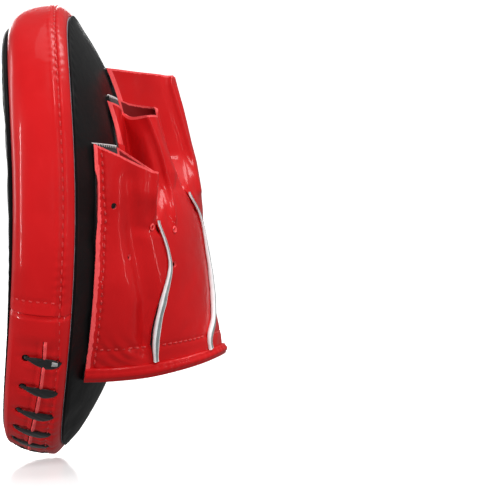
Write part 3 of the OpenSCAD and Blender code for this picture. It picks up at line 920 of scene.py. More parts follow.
def lace():
    """One flat lace wound over and under the slit, widest where it lies over the leather."""
    over, under = 0.35, skin_t + 1.5
    # share of the way across, depth, and width at each stop of a crossing
    stops = [(-1.0, under, 2.0), (-1.0, 0.8, 1.5), (-0.78, over, 2.0), (-0.35, over - 0.25, 4.3),
             (0.1, over - 0.35, 5.8), (0.5, over - 0.25, 6.1), (0.82, over, 4.9), (1.0, 0.7, 3.2),
             (1.0, under, 2.4), (0.0, under + 1.4, 2.4)]
    points, outs, widths = [], [], []
    for n, c in enumerate(crossings[::-1]):
        for k, (share, depth, width) in enumerate(stops):
            back = k == len(stops) - 1
            if back and n == len(crossings) - 1:
                continue
            a = c - (lace_step / 2 if back else share * lace_slope)
            w = slit_w + share * lace_reach / half_band
            hang = 0.0 if back else -0.5 * (width - 2.4) / pad_bottom * 180 / math.pi * 0.35
            w = leaned(a, w)
            p = band_point(a + hang, w, depth)
            points.append(p)
            outs.append(unit(band_point(a, w, depth - 1) - band_point(a, w, depth)))
            widths.append([width, 0, 0])
    line = curve_through(points, 6)
    up = unit(curve_through(outs, 6))
    width = curve_through(widths, 6)[:, 0]
    obj = sweep("lace_flat", line, up, width, width * 0 + 1.5, [LACE], sides=14, power=2.4)
    obj = join_up(obj, [lace_tip(crossings[-1]), lace_tip(crossings[0])])
    finish_piece(obj, "lace_cord", "lace")


def lace_tip(c):
    """The tipped end of the lace, tucked under its first and last crossings."""
    share = np.linspace(0.6, 1.0, 12)
    a = c - share * lace_slope
    w = leaned(a, slit_w + share * lace_reach / half_band)
    line = band_point(a, w, -0.35 + 0 * w)
    out = unit(band_point(a, w, -1.35 + 0 * w) - line)
    wide = np.linspace(2.9, 1.9, 12)
    return sweep("lace_tip", line, out, wide, wide * 0.35, [GREY_TIP], sides=12, power=3.5)


def band_thread(name, node, a, w, lift, pitch, length, width=stitch_d):
    """A row of stitches on the band, lift above its plain shape."""
    low = band_point(a, w, -lift)
    high = band_point(a, w, -lift - 1)
    stitches(name, low, unit(high - low), pitch, length, [node], width=width)


def band_stitches():
    a = even_angles(-90, 270, 1.5)
    w = topstitch_w * np.ones_like(a)
    band_thread("gusset_topstitches", "gusset_topstitch", a, leaned(a, w), band_relief(a, w),
                topstitch_pitch, 3.3)
    w = np.linspace(-0.84, 0.56, 60)
    for side, row in zip(("near", "far"), LAP_ROWS):
        a = row + w * 0
        lift = band_relief(a, w) + lap_relief(a, w)
        band_thread(f"lap_stitches_{side}", f"lap_stitch_{side}", a, w, lift, 3.4, 2.5, width=0.7)


# ---- the pad's faces ----------------------------------------------------------------------

# Cloth simulation: air pressure, and the longest moves in millimetres
air_pressure, face_cap, grip_cap = 4.0, 1.8, 3.0


def puff(P, slack):
    """How a padded face settles: cloth under air pressure, sewn down round its rim. P is a grid of
    rings from the middle to the rim; returns each point's move."""
    rings, sides = P.shape[:2]
    points = np.concatenate([P[0].mean(0)[None], P[1:].reshape(-1, 3)])
    ring = grid_faces(rings - 1, sides, wrap=True) + 1
    faces = ring.tolist() + [[0, 1 + k, 1 + (k + 1) % sides] for k in range(sides)]
    obj = make_mesh("puff", points, faces[::-1], [])
    recalc(obj)
    move = settle(obj, list(range(len(points) - 2 * sides, len(points))), face_cap, slack)
    bpy.data.objects.remove(obj)
    first = np.broadcast_to(move[0], (1, sides, 3))
    return np.concatenate([first, move[1:].reshape(rings - 1, sides, 3)])


def settle(obj, held, cap, slack):
    """How far each point of a mesh moves, in millimetres, as cloth under air pressure, held at the
    points listed: no point moves further than cap, and slack is how much the cloth may grow."""
    points = mesh_points(obj.data)
    pinned = obj.vertex_groups.new(name="pinned")
    pinned.add(held, 1.0, "REPLACE")
    mod = obj.modifiers.new("settle", "CLOTH")
    mod.settings.quality = 6
    mod.settings.mass = 0.25
    mod.settings.tension_stiffness = 18
    mod.settings.compression_stiffness = 18
    mod.settings.shear_stiffness = 8
    mod.settings.bending_stiffness = 0.6
    mod.settings.shrink_min = -slack
    mod.settings.use_pressure = True
    mod.settings.uniform_pressure_force = air_pressure
    mod.settings.vertex_group_mass = "pinned"
    mod.settings.effector_weights.gravity = 0
    mod.point_cache.frame_start, mod.point_cache.frame_end = 1, sim_frames
    for frame_number in range(1, sim_frames + 1):
        bpy.context.scene.frame_set(frame_number)
    move = mesh_points(obj.evaluated_get(bpy.context.evaluated_depsgraph_get()).to_mesh()) - points
    obj.modifiers.remove(mod)
    bpy.context.scene.frame_set(1)
    far = np.linalg.norm(move, axis=-1, keepdims=True)
    return move * np.minimum(1, cap / np.maximum(far, 1e-6))


def applied(obj, kind, **settings):
    """Applies one modifier to a mesh."""
    mod = obj.modifiers.new(kind.lower(), kind)
    for key, value in settings.items():
        setattr(mod, key, value)
    mesh = bpy.data.meshes.new_from_object(obj.evaluated_get(bpy.context.evaluated_depsgraph_get()))
    obj.modifiers.remove(mod)
    obj.data = mesh


def spread_move(move, r_from, a_from, r_to, a_to):
    """Carries a coarse grid's moves onto a finer one, smoothly."""
    wide = np.concatenate([move, move[:, :1]], axis=1)
    a_wide = np.append(a_from, a_from[0] + 360)
    across = np.stack([[np.interp(a_to, a_wide, wide[i, :, j]) for j in range(3)]
                       for i in range(len(r_from))])
    out = np.stack([np.stack([np.interp(r_to, r_from, across[:, j, k]) for k in range(len(a_to))], -1)
                    for j in range(3)], -1)
    for _ in range(3):
        out = (np.roll(out, 1, 1) + 2 * out + np.roll(out, -1, 1)) / 4
        out[1:-1] = (out[:-2] + 2 * out[1:-1] + out[2:]) / 4
    return out


def face_leather(name, side, skin, relief, share, slot_node, slack):
    """One of the pad's two faces: side is -1 for the strike face and 1 for the hand face.
    skin(r, row) is how far it stands out, relief(along, distance in, flat points) adds detail, and
    share(row) is how much of its settling shows."""
    def grid(ring_count, step):
        angles = even_angles(-90, 270, step)[:-1]
        r = 1 - (1 - np.linspace(0, 1, ring_count)) ** 1.5
        flat = outline(angles)[None, :, :] * r[:, None, None]
        return angles, r, flat, bow(flat[..., 0], side * (half_band + skin(r[:, None], flat[..., 1])),
                                    flat[..., 1])
    a_low, r_low, _, P_low = grid(34, 4.4)
    move = puff(P_low, slack)
    angles, r, flat, P = grid(70, 1.7)
    P = P + spread_move(move, r_low, a_low, r, angles) * share(flat[..., 1])[..., None]
    inward = (1 - r)[:, None] * 95
    h = relief(along(angles)[None, :], inward, flat)
    P = P + (bow(flat[..., 0], side * (half_band + 1 + h), flat[..., 1])
             - bow(flat[..., 0], side * (half_band + 1 + 0 * h), flat[..., 1]))
    edge = bow(flat[-1:, :, 0] * 0.985, side * (half_band - 0.6), flat[-1:, :, 1] * 0.985)
    P = np.concatenate([P, edge])
    obj = grid_piece(name, P, [BLACK], wrap=True, flip=side < 0)
    weld(obj)
    finish_piece(obj, "black_leather", slot_node)


def face_relief(pitch, reach_mm, wave_mm, seed):
    """Detail of a face, as a function: gathers along its seam, and slow waves inside it."""
    def relief(d, inward, flat):
        x, row = flat[..., 0] / wave_mm, flat[..., 1] / wave_mm
        h = 0.4 * puckers(d, inward, pitch, reach_mm, seed) * smooth(inward / 1.2)
        return h + 0.4 * noise(x, row, seed + 2) * smooth(inward / 12)
    return relief


def strike_leather():
    def skin(r, row):
        proud = mix(0.3, 1.0, smooth((row + 100) / 130))
        return (skin_t + 0.2) * proud + strike_dome(r) * strike_lift(row)
    face_leather("strike_leather", -1, skin, face_relief(6.2, 3.0, 30, 41),
                 lambda row: strike_lift(row) ** 2 * 0.8, "strike_face", 0.008)


def back_leather():
    def skin(r, row):
        return skin_t + hand_dome(r) + 0 * row
    face_leather("back_leather", 1, skin, face_relief(6.6, 2.6, 26, 51),
                 lambda row: mix(1.0, 0.15, smooth((row + 30) / 90)), "back_face", 0.01)


# ---- the glove ----------------------------------------------------------------------------

RIDGE_ROWS = [glove_low, -64, -48, -32, -14, 8, 20]
RIDGE_HEIGHTS = [86, 84.5, 81.5, 79.5, 77, 73.5, 70.5]
RISE_ROWS = [glove_low, -62, -30, 0]
RISE = [10, 6, 1, 0]


def ridge(s):
    """The glove's knuckle ridge over the middle of the pad, at a row."""
    y = lookup(s, RIDGE_ROWS, RIDGE_HEIGHTS) + pad_y
    z = s * ridge_rise + lookup(s, RISE_ROWS, RISE) + pad_z
    return np.stack([s * 0.0, y, z], -1)


def base(x, s):
    return on_back(x, s, palm_t + 2 * gap)


def arch(near, far, top, a, power, lag):
    """Arch from a near base over a ridge to a far base, at 0 to 180 degrees."""
    c, h = pw(cosd(a), power), pw(sind(a), power)
    b = np.where((a < 90)[..., None], near, far)
    return np.stack([top[..., 0] + (b[..., 0] - top[..., 0]) * np.abs(c),
                     mix(b[..., 1], top[..., 1], h),
                     mix(b[..., 2], top[..., 2], np.abs(h) ** lag)], -1)


def body_arch(s, a):
    """The glove's inner shape at a row, from the little finger's side at 0 to the thumb's at 180."""
    s, a = np.broadcast_arrays(s * 1.0, a * 1.0)
    x = edge_x(s)
    return arch(base(x, s), base(-x, s), ridge(s), a, body_power, body_lag)


def finger_arch(name, s, knuckle, a):
    """The inner shape of one finger sleeve, above its knuckle row."""
    near_x, ridge_x, far_x, top_row, drop, y_top, y_low = FINGERS[name]
    s, a = np.broadcast_arrays(s * 1.0, a * 1.0)
    t = (s - knuckle) / (top_row - knuckle)
    y = mix(y_low, y_top, np.clip(t, 0, 1)) + pad_y
    z = s * ridge_rise - drop * smooth(t) + pad_z
    x0 = edge_x(s) if name == "little" else near_x + 0 * s
    x1 = -edge_x(s) if name == "thumb" else far_x + 0 * s
    top = np.stack([ridge_x + 0 * s, y, z], -1)
    return arch(base(x0, s), base(x1, s), top, a, finger_power, 1.0)


def seam_angle(k, s):
    """Arch angle of seam k: 0 and 5 are the glove's side edges, 1 to 4 part the sleeves."""
    if k == NEAR:
        return s * 0.0 - seam_trim
    if k == FAR + 1:
        return s * 0.0 + 180 + seam_trim
    return lookup(s, *SEAMS[k - 1])


def notches_of(k):
    """Rows where sleeve k parts from its neighbours, on its near and its far side."""
    return notches[max(0, k - 1)], notches[min(len(notches) - 1, k)]


def spread(u, c0, c1, v0, v1, top):
    """A line in three parts: v0 is reached at c0, v1 at c1, and top at the end."""
    low = v0 * u / c0 if c0 else v0 + 0 * u
    high = mix(v1, top, (u - c1) / (1 - c1)) if c1 < 1 else v1 + 0 * u
    return np.where(u < c0, low, np.where(u > c1, high, mix(v0, v1, (u - c0) / (c1 - c0))))


def sleeve_base(k, s, u):
    """Point of sleeve k's inner face at row s and column share u, before it is eased and folded."""
    name = ORDER[k]
    near, far = k != NEAR, k != FAR
    n0, n1 = notches_of(k)
    c0, c1 = (fold if near else 0), (1 - fold if far else 1)
    share = spread(u, c0, c1, fold_seed if near else 0, 1 - fold_seed if far else 1, 1)
    turn = spread(u, c0, c1, 0 if not near else crown_angle if far else 90,
                  180 if not far else 180 - crown_angle if near else 90, 180)
    notch = mix(n0, n1, smooth((u - 0.3) / 0.45))
    d = smooth((s - notch) / part_len)
    a = mix(seam_angle(k, s) + seam_trim, seam_angle(k + 1, s) - seam_trim, share)
    p = body_arch(s, a)
    q = finger_arch(name, s, min(n0, n1), turn)
    return mix(p, q, d[..., None])


def top_row(k):
    """The row of sleeve k's open end."""
    return FINGERS[ORDER[k]][3]


def height_at(p):
    """Row up the glove and height off the pad's middle plane of points, in millimetres."""
    return p[..., 2] - pad_z, p[..., 1] - pad_y


def valley(p, rows, heights, width, depth, first, last, upper=None):
    """A long hollow in the glove's side: its middle line runs through (row, height) points, and it
    is upper wide on the side away from the pad."""
    row, height = height_at(p)
    off = height - np.interp(row, rows, heights)
    ends = smooth((row - first) / 14) * smooth((last - row) / 14)
    return -depth * bump(off / np.where(off > 0, upper or width, width)) * ends


def cuff_gathers(p, s, k):
    """The elastic draws the leather into short gathers on both sides of its stitching."""
    across = p[..., 0] * 0.9 + p[..., 1] * 0.9
    off = s - stitch_row
    strong = 0.55 + 0.75 * bump((p[..., 0] - 68) / 14) + 0.5 * bump((p[..., 0] + 60) / 16)
    h = 0.42 * puckers(across, off, 3.8, 5.5, 61 + k) * strong
    h = h - 0.55 * bump(off / 1.0)
    h = h + 0.3 * puckers(across + off * 0.5, off + 7, 5.5, 7.0, 71 + k) * strong
    return h


def sleeve_relief(k, P, s, u):
    """Folds, cuff gathers, seam gathers and stitch grooves of sleeve k."""
    row, height = height_at(P)
    h = 0.35 * noise(s / 16, u * 5 + k * 7, 81 + k) + 0.1 * noise(s / 5, u * 17, 91 + k)
    h = h + cuff_gathers(P, s, k)
    below = [smooth((notch + 2 - s) / 8) for notch in notches_of(k)]
    width = np.linalg.norm(P[:, -1] - P[:, 0], axis=-1)[:, None]
    for side, share in ((0, u), (1, 1 - u)):
        if k == (NEAR, FAR)[side]:
            continue  # the glove's side edge, which has no seam
        off = share * width
        h = h - 0.5 * bump((off - 5.0) / 0.8) * below[side]
        h = h + 0.5 * puckers(s, off - 5.0, 4.4, 2.4, 101 + 2 * k + side) * below[side]
        h = h - 1.3 * bump(off / 1.7) * below[side]
    return h


def outward(P):
    n = grid_normals(P)
    middle = P.mean((0, 1)) - np.array([0, 60, 0])
    if ((P - middle) * n).sum() < 0:
        n = -n
    return n


def eased(n, passes):
    """Outward directions evened out over their neighbours."""
    for _ in range(passes):
        wide = np.pad(n, ((1, 1), (1, 1), (0, 0)), mode="edge")
        n = unit(n * 2 + wide[:-2, 1:-1] + wide[2:, 1:-1] + wide[1:-1, :-2] + wide[1:-1, 2:])
    return n


def relaxed(P, share, passes):
    """Evens a grid of points out over their neighbours."""
    for _ in range(passes):
        wide = np.pad(P, ((1, 1), (1, 1), (0, 0)), mode="edge")
        mean = (wide[:-2, 1:-1] + wide[2:, 1:-1] + wide[1:-1, :-2] + wide[1:-1, 2:]) / 4
        P = mix(P, mean, share)
    return P


# Punched air holes: sleeve, row, and height off the pad's middle plane
VENTS = {0: [(8.0, 33.8), (-17.5, 40.6)], 1: [(-21, 62.5)], 3: [(-14, 66)], 4: [(-8, 34), (-30, 40)]}
vent_r = 1.55
# Creases along the sleeves, near the ridge: rows, and heights off the pad's middle plane
CREASES = {0: ([-1, 25, 40], [51.6, 52.8, 53.2]), 1: ([-2, 27, 60], [62.3, 56.6, 46.6]),
           2: ([14, 22, 76], [73, 71.8, 57.5])}
# Hollows along the sleeves: rows, heights, width, depth, first and last row, and the width on
# the side away from the pad where that differs
HOLLOWS = {
    0: ([-63, -40, -22, -4, 17, 30], [48, 49, 46, 42.5, 42, 41.5], 5.0, 4.2, -75, 34),
    1: ([20, 40, 66], [40.5, 38.5, 37], 3.0, 16.0, 8, 110, 7.5),
    2: ([20, 60, 80], [48, 42, 40], 9.0, 2.0, 18, 100),
    4: ([-63, -30, 10], [46, 42, 38], 6.0, 1.8, -75, 40),
}
# How the open ends dip on the near side and rise on the far side: heights and rises
MOUTHS = {
    1: ([34, 37, 41, 45, 49, 52], [-2.9, -3.6, -4.9, -3.4, -1.4, -0.6],
        [36, 39, 45, 49, 52], [0.4, 1.0, 2.5, 3.1, 0.8]),
    3: ([34, 41, 52], [-1.5, -2.4, -0.5], [36, 45, 52], [0, 1.2, 0.2]),
}


def mouth_rise(k, P):
    """How far each column's open end moves up, by its height above the pad."""
    if k not in MOUTHS:
        return np.zeros(P.shape[1])
    near_h, near_rise, far_h, far_rise = MOUTHS[k]
    height = height_at(P[-1])[1]
    crest = np.argmax(height)
    near = lookup(height, near_h, near_rise)
    far = lookup(height, far_h, far_rise)
    t = smooth((np.arange(len(height)) - crest) / 6 + 0.5)
    return mix(near, far, t)


# Widths of the pale strips of painted highlight along the sleeves' seamed edges and open ends, and the
# inset of the side edge's stitching
edge_strip_w, rim_strip_w, glove_stitch_in = 1.9, 1.3, 4.0

# Height of the sleeves' crests off the pad's middle plane: rows and heights
CRESTS = {0: ([-4, 1, 12, 25, 38], [53.4, 53.9, 54.6, 55.2, 55.6]),
          1: ([20, 30, 42, 50, 58], [65.6, 61.8, 57.9, 55.6, 53.4]),
          2: ([4, 18, 31, 44, 60, 81], [76.3, 74.9, 73.2, 70.4, 66.4, 60.6])}


def hollows(k, P):
    return valley(P, *HOLLOWS[k]) if k in HOLLOWS else P[..., 0] * 0.0


def crest_fitted(k, P):
    """Lifts or lowers a sleeve's upper part, so that its crest runs smoothly over the knuckles."""
    if k not in CRESTS:
        return P
    row, height = height_at(P)
    crest = height.max(1, keepdims=True)
    crest_row = np.take_along_axis(row, height.argmax(1)[:, None], 1)
    rows, heights = CRESTS[k]
    off = (lookup(crest_row, rows, heights) - skin_t - crest) * smooth((crest_row - rows[0] + 4) / 8)
    return P + OFF_PAD * (off * smooth((height - crest + 20) / 18))[..., None]


# Sleeve mesh: millimetres between rows, columns, and reach of the final weld
sleeve_row_step, sleeve_columns, sleeve_weld = 1.15, 150, 0.3
# Rows that a mouth's rise and the evened knuckles reach over, and passes of the evening
mouth_reach, knuckle_reach, relax_passes = 26, 26, 45
# Column shares where the middle sleeves' hollows and the creases end
near_wall_share, crease_share = 0.56, 0.74
far_off = 100  # added to a distance in millimetres, so that the far wall is never picked


def from_edge(k, girth):
    """Distance of a side sleeve's points from the glove's side edge."""
    return girth if k == NEAR else girth[:, -1:] - girth


def sleeve_grid(k):
    """Outer face of sleeve k with its folds: points, outward directions, rows, shares, widths."""
    top = top_row(k)
    rows = np.linspace(glove_low + 1, top, int((top - glove_low) / sleeve_row_step))
    rows = np.unique(np.append(rows, [top - 0.4, top - 0.9]))
    s, u = np.broadcast_arrays(rows[:, None], np.linspace(0, 1, sleeve_columns)[None, :])
    P = sleeve_base(k, s, u)
    girth = np.concatenate([np.zeros((len(P), 1)),
                            np.cumsum(np.linalg.norm(np.diff(P, axis=1), axis=-1), axis=1)], axis=1)
    rise = mouth_rise(k, P) * smooth((s - top + mouth_reach) / mouth_reach)
    low, high = sorted(notches_of(k))
    knuckle = smooth((s - low + 8) / 8) * smooth((high + knuckle_reach - s) / 12)
    P = relaxed(P, 0.9 * knuckle[..., None], relax_passes)
    P = crest_fitted(k, P + UP * rise[..., None])
    n = eased(outward(P), 4)
    near_wall = smooth((near_wall_share - u) / 0.1) if k in (1, 2) else 1.0
    h = sleeve_relief(k, P, s, u) + hollows(k, P) * near_wall
    row, height = height_at(P)
    if k in CREASES:
        crease_rows, heights = CREASES[k]
        line = lookup(row, crease_rows, heights)
        along_crease = smooth((row - crease_rows[0]) / 5) * smooth((crease_share - u) / 0.08)
        fold_line = 1.5 * bump((height - line) / 0.75) - 0.6 * bump((height - line + 2.4) / 1.4)
        h = h + fold_line * along_crease
    if k in (NEAR, FAR):
        off = from_edge(k, girth)
        h = h + 0.5 * bump(off / 1.6) - 0.6 * bump((off - glove_stitch_in) / 0.8)
        h = h + 0.3 * puckers(s, off - glove_stitch_in, 4.2, 2.0, 131 + k)
    return P + n * (skin_t + h)[..., None], n, s, u, girth


def sleeve(k):
    """One of the glove's five leather panels, with its air holes, pale cut edges, and pale strips of
    painted highlight along its seamed edges and open end.
    """
    P, n, s, u, girth = sleeve_grid(k)
    near, far = notches_of(k)
    # Pale strips along the open end and the seamed edges: the cut-edge colour on the outer face, a painted
    # highlight of the turned edge.
    light = s > top_row(k) - rim_strip_w
    light |= (girth < edge_strip_w) & ((s > near + 8) | (k == NEAR))
    light |= (girth[:, -1:] - girth < edge_strip_w) & ((s > far + 8) | (k == FAR))
    holes = []
    row, height = height_at(P)
    for hole_row, hole_height in VENTS.get(k, []):
        off = np.hypot(row - hole_row, height - hole_height) + (u > 0.6) * far_off * (k != FAR)
        holes.append((P[np.unravel_index(np.argmin(off), off.shape)].copy(), vent_r))
    slots = np.where(light, EDGE_AND_HIGHLIGHT, OUTER)[:-1, :-1]
    obj = grid_piece(ORDER[k] + "_leather", P, LEATHER, holes, slots=slots)
    weld(obj, sleeve_weld)
    face_out(obj, n)
    thicken(obj, skin_t, inner=INNER, rim=EDGE_AND_HIGHLIGHT)
    if k in (0, 1):
        join_up(obj, [crease_ring(k, P, n, row, height, u)])
    if k == 1:
        join_up(obj, [seam_tab()])
    node = "thumb_sleeve" if k == FAR else ORDER[k] + "_finger_sleeve"
    finish_piece(obj, "red_leather", node)


def crease_ring(k, P, n, row, height, u):
    """The little sewn ring at the low end of a sleeve's crease, painted pale all over with the cut-edge
    colour as a painted highlight.
    """
    rows, heights = CREASES[k]
    off = np.hypot(row - rows[0] + 1.5, height - heights[0]) + (u > 0.72) * far_off
    i = np.unravel_index(np.argmin(off), off.shape)
    out = n[i]
    side = unit(np.cross(out, UP))
    up = np.cross(side, out)
    t = np.linspace(0, math.tau, 25)
    line = P[i] + out * 0.35 + side * (1.25 * np.cos(t))[:, None] + up * (1.45 * np.sin(t))[:, None]
    thick = np.full(25, 0.9)
    # pale cut-edge colour all round the ring: painted highlight
    return sweep("crease_ring", line, np.broadcast_to(out, line.shape), thick, thick, LEATHER, sides=8,
                 power=2, slots=[EDGE_AND_HIGHLIGHT] * 8)


def seam_tab():
    """The turned-out end of the ring finger sleeve's seam, beside the little finger."""
    rows = np.linspace(31, 39, 9)[:, None]
    lift = np.linspace(0, 3.4, 6)[None, :]
    P = on_back(45.0 + 0.5 * lift + rows * 0, rows + lift * 0.25, palm_t + 3 * gap + 0.4 + lift * 0.15)
    P = P - OFF_PAD * (lift - 2.6)[..., None] * 0.9
    return shell("seam_tab", P, LEATHER, np.array([1.0, 0.0, 0.0]), 1.0, inner=OUTER, rim=EDGE_AND_HIGHLIGHT)


def arch_line(s, a, lift):
    """A line lift above the glove's inner shape, and its outward directions."""
    d = body_arch(s, a + 1) - body_arch(s, a - 1)
    n = unit(np.stack([d[:, 1], -d[:, 0], d[:, 0] * 0], -1))
    return body_arch(s, a) + n * lift, n


def piping(k, node):
    """Piping in a seam: thin where it starts at the notch, and full lower down."""
    s = np.linspace(glove_low + binding_h + 1, notches[k - 1] + 1.5, 80)
    line, n = arch_line(s, seam_angle(k, s), skin_t + 1.2)
    t = np.linspace(0, 1, len(line))
    full = smooth((0.85 - t) / 0.45)
    widths = mix(1.6, 3.8, full) * (1 + 0.06 * noise(t * 14, t * 0, 151 + k))
    widths = widths * mix(1.0, 0.78, smooth((0.12 - t) / 0.1))
    wander = 0.35 * noise(t * 9, t * 0, 161 + k) * smooth(t / 0.1)
    side = unit(np.cross(np.gradient(line, axis=0), n))
    line = line + side * wander[:, None]
    sides = 28
    # faces along the piping's crown take the grey stripe
    strip = [1 if 5 <= j <= 8 else 0 for j in range(sides)]
    obj = sweep(f"piping_{k}", line, n, widths, widths * 0.8, [WHITE_PIPING, GREY_PIPING], sides=sides,
                power=2.3, slots=strip, groove=0.28)
    finish_piece(obj, "white_piping", node)


def palm_top(x):
    tops = [FINGERS[name][3] for name in ORDER]
    edges = [48, 16, -16, -47]
    return np.select([x > e for e in edges], tops[:-1], tops[-1])


def palm_at(x, s, lift):
    return on_back(x * edge_x(s) / edge_x(np.array(0.0)), s, lift)


def palm_sheet():
    """Black backing under the hand, its top edge stepped under the sleeves."""
    spans = [(79, 49.5, 30), (45.5, 18.5, 26), (14, -13.5, 26), (-18, -45, 26), (-49.5, -79, 30)]
    x = np.concatenate([np.linspace(*span) for span in spans])[None, :]
    v = np.linspace(0, 1, 110)[:, None]
    s = mix(glove_low, palm_top(x), v)
    P = palm_at(x, s, gap + palm_t)
    P = P + OFF_PAD * (0.3 * noise(x / 14, s / 14, 171))[..., None]
    obj = shell("palm_cloth_sheet", P, [PALM_CLOTH], OFF_PAD, palm_t)
    finish_piece(obj, "palm_cloth", "palm_panel")


def overlock():
    """White thread whipped over the top edges of the palm sheet."""
    spans = [(79, 50), (45.5, 18.5), (14, -13.5), (-18, -45), (-50, -79)]
    made = []
    for near, far in spans:
        count = 400
        x = np.linspace(near, far, count)
        s = palm_top(x) * 1.0
        turns = abs(near - far) / 2.6
        t = np.linspace(0, turns * math.tau, count)
        line = palm_at(x, s - 0.1 + 0.75 * np.cos(t), gap + palm_t / 2 + 1.05 * np.sin(t))
        up = unit(line - palm_at(x, s - 3, gap + palm_t / 2))
        thick = np.full(count, 0.5)
        made.append(sweep("overlock", line, up, thick, thick, [WHITE_THREAD], sides=6, power=2))
    join("palm_overlock_thread", made, "white_thread", "palm_overlock")


def join(name, objects, slot, *nodes):
    """Joins meshes into one piece of the given name."""
    obj = join_up(objects[0], objects[1:])
    obj.name = name
    obj.data.name = name
    finish_piece(obj, slot, *nodes)


def body_sheet(name, s0, s1, a0, lift, thickness, material, slot, node, ripple=0.0, cols=130):
    """A layer inside the glove's body, from row s0 to row s1."""
    s = np.linspace(s0, s1, 50)[:, None]
    a = np.linspace(a0, 180 - a0, cols)[None, :]
    P = body_arch(s, a)
    n = outward(P)
    wave = ripple * np.sin(np.linspace(0, 60 * math.pi, cols))[None, :]
    wave = wave * (0.6 + 0.4 * noise(s / 6, a / 9, 181))
    hollow = sum(hollows(k, P) * (a > seam_angle(k, s)) * (a < seam_angle(k + 1, s)) for k in (NEAR, FAR))
    P = P + n * (lift + wave + hollow)[..., None]
    return finish_piece(shell(name, P, [material], n, thickness), slot, node)


grip_voxel, grip_shrink, grip_held = 4.0, 0.95, 3.5


def grip():
    """The stuffed leather grip in the palm, sewn down round its rim, with a seam over its middle."""
    low, high = (np.array(v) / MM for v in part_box("palm_grip"))
    middle, half = (low + high) / 2, (high - low) / 2
    obj = bpy.data.objects.new("palm_grip_cushion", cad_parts["palm_grip"].data.copy())
    obj.data.materials.clear()
    bpy.context.scene.collection.objects.link(obj)
    applied(obj, "REMESH", mode="VOXEL", voxel_size=grip_voxel * MM)
    P = middle + (mesh_points(obj.data) - middle) * grip_shrink
    obj.data.vertices.foreach_set("co", (P * MM).reshape(-1))
    held = np.flatnonzero(P[:, 1] < low[1] + grip_held).tolist()
    P = P + settle(obj, held, grip_cap, 0.01)
    obj.data.vertices.foreach_set("co", (P * MM).reshape(-1))
    applied(obj, "SUBSURF", levels=1)
    P = mesh_points(obj.data)
    across = P[:, 2] - middle[2]
    top = smooth((P[:, 1] - middle[1]) / half[1] + 0.3)
    gathers = 0.35 * np.sin(P[:, 0] / 1.1) * bump((np.abs(across) - 3) / 2)
    P[:, 1] = np.minimum(P[:, 1] - (1.6 * bump(across / 1.6) - gathers) * top, high[1])
    obj.data.vertices.foreach_set("co", (P * MM).reshape(-1))
    obj.data.materials.append(BLACK)
    obj.data.shade_smooth()
    finish_piece(obj, "black_leather", "palm_grip")
    a = np.linspace(0, math.tau, 121)
    row = (middle[2] - pad_z + half[2] * 0.97 * np.sin(a)) / ridge_rise
    line = on_back(middle[0] + half[0] * 0.97 * np.cos(a), row, palm_t + 3 * gap + 1.1)
    thick = np.full(len(a), 2.4)
    welt = sweep("palm_grip_welt", line, np.broadcast_to(OFF_PAD, line.shape), thick, thick, [BLACK],
                 sides=10, power=2)
    finish_piece(welt, "black_leather", "palm_grip")


def inner_layers():
    """The lining and the cuff's elastic web."""
    low = glove_low + binding_h + 1.5
    cloth_piece = body_sheet("glove_lining_cloth", low, notches[3] - 3, 6, -gap * 2, lining_t, LINING,
                             "lining_cloth", "glove_lining")
    body_sheet("cuff_elastic_web", low, stitch_row, 9, -gap * 3 - lining_t, 1.2, ELASTIC, "elastic_web",
               "cuff_elastic", ripple=0.25, cols=260)


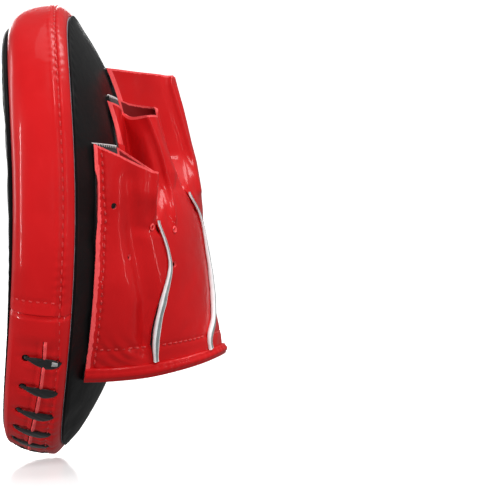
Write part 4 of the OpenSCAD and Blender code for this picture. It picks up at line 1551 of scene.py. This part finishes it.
def binding():
    """Leather strip folded round the cuff's bottom edge."""
    a = np.linspace(-1.0, 181.0, 240)[None, :]
    turn = np.linspace(0, math.pi, 15)
    top = binding_h + 0.6
    wall = skin_t + 1.5
    profile = [(top, wall * 0.35), (top + 0.1, wall * 0.75), (top - 0.5, wall)]
    profile += [(v, wall + 0.9 * math.sin(math.pi * (v - 1.6) / (top - 3.0)) ** 0.8)
                for v in np.linspace(top - 1.4, 1.6, 9)]
    profile += [(1.3 - 1.5 * math.sin(t), (wall - 1.1) / 2 + (wall + 1.1) / 2 * math.cos(t)) for t in turn]
    profile += [(v, -1.3) for v in np.linspace(2.0, top - 1, 6)] + [(top, -0.9)]
    s_off = np.array([p[0] for p in profile])[:, None]
    lift = np.array([p[1] for p in profile])[:, None]
    a = np.clip(a, 0.3, 179.7)
    P = body_arch(glove_low + s_off, a)
    n = outward(body_arch(glove_low + np.linspace(0, 8, 12)[:, None], a))[5][None]
    along_cuff = np.cumsum(np.linalg.norm(np.diff(P[5], axis=0, prepend=P[5][:1]), axis=-1))[None, :]
    soft = 0.28 * puckers(along_cuff, s_off - top + 1.5, 4.4, 3.0, 191)
    soft = soft + 0.3 * noise(along_cuff / 17, s_off / 9, 193)
    P = P + n * (lift + np.where(lift > 0.3, soft, 0))[..., None]
    obj = grid_piece("cuff_binding_leather", P, [RED])
    recalc(obj)
    finish_piece(obj, "red_leather", "cuff_binding")


def edge_line(k, inset, s):
    """A line an inset in from the glove's side edge, on sleeve k's outer face."""
    P, n, rows, _, girth = sleeve_grid(k)
    column = np.argmin(np.abs(from_edge(k, girth) - inset), axis=1)
    i = np.arange(len(P))
    line, out, row = P[i, column], n[i, column], rows[:, 0]

    def at_rows(values):
        return np.stack([np.interp(s, row, values[:, j]) for j in range(3)], -1)
    return at_rows(line), unit(at_rows(out))


def glove_stitches():
    """Stitches down the glove's side edges, and round its cuff between the seams."""
    for k, node in ((NEAR, "edge_stitch_near"), (FAR, "edge_stitch_far")):
        s = np.linspace(glove_low + binding_h + 2, top_row(k) - 2, 160)
        line, n = edge_line(k, glove_stitch_in, s)
        stitches(node.replace("stitch", "stitches"), line, n, 4.2, 3.0, [node], sink=0.1)
    made = []
    seams = [float(seam_angle(k, np.array(stitch_row))) for k in (1, 2, 3)]
    starts, ends = [6] + [a + 3.5 for a in seams], [a - 3.5 for a in seams] + [174]
    for k, (start, end) in enumerate(zip(starts, ends)):
        line, n = arch_line(np.full(90, stitch_row), np.linspace(start, end, 90), skin_t - 0.35)
        made.append(stitches(f"cuff_row_{k}", line, n, 3.6, 2.5, []))
    join("cuff_stitches", made, "red_thread", "cuff_stitch")


# ---- putting it together ------------------------------------------------------------------

gusset_top()
gusset_bottom()
slit_strip()
lace()
band_stitches()
strike_leather()
back_leather()
for number in range(len(ORDER)):
    sleeve(number)
for number, seam_node in ((1, "piping_little_ring"), (2, "piping_ring_middle"), (3, "piping_middle_index")):
    piping(number, seam_node)
palm_sheet()
overlock()
grip()
inner_layers()
binding()
glove_stitches()

for node_name, finish in (("foam_strike_layer", FOAM_SOFT), ("foam_middle_layer", FOAM_FIRM),
                          ("foam_hand_layer", FOAM_SOFT)):
    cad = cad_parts[node_name]
    cad.data.materials.clear()
    cad.data.materials.append(finish)
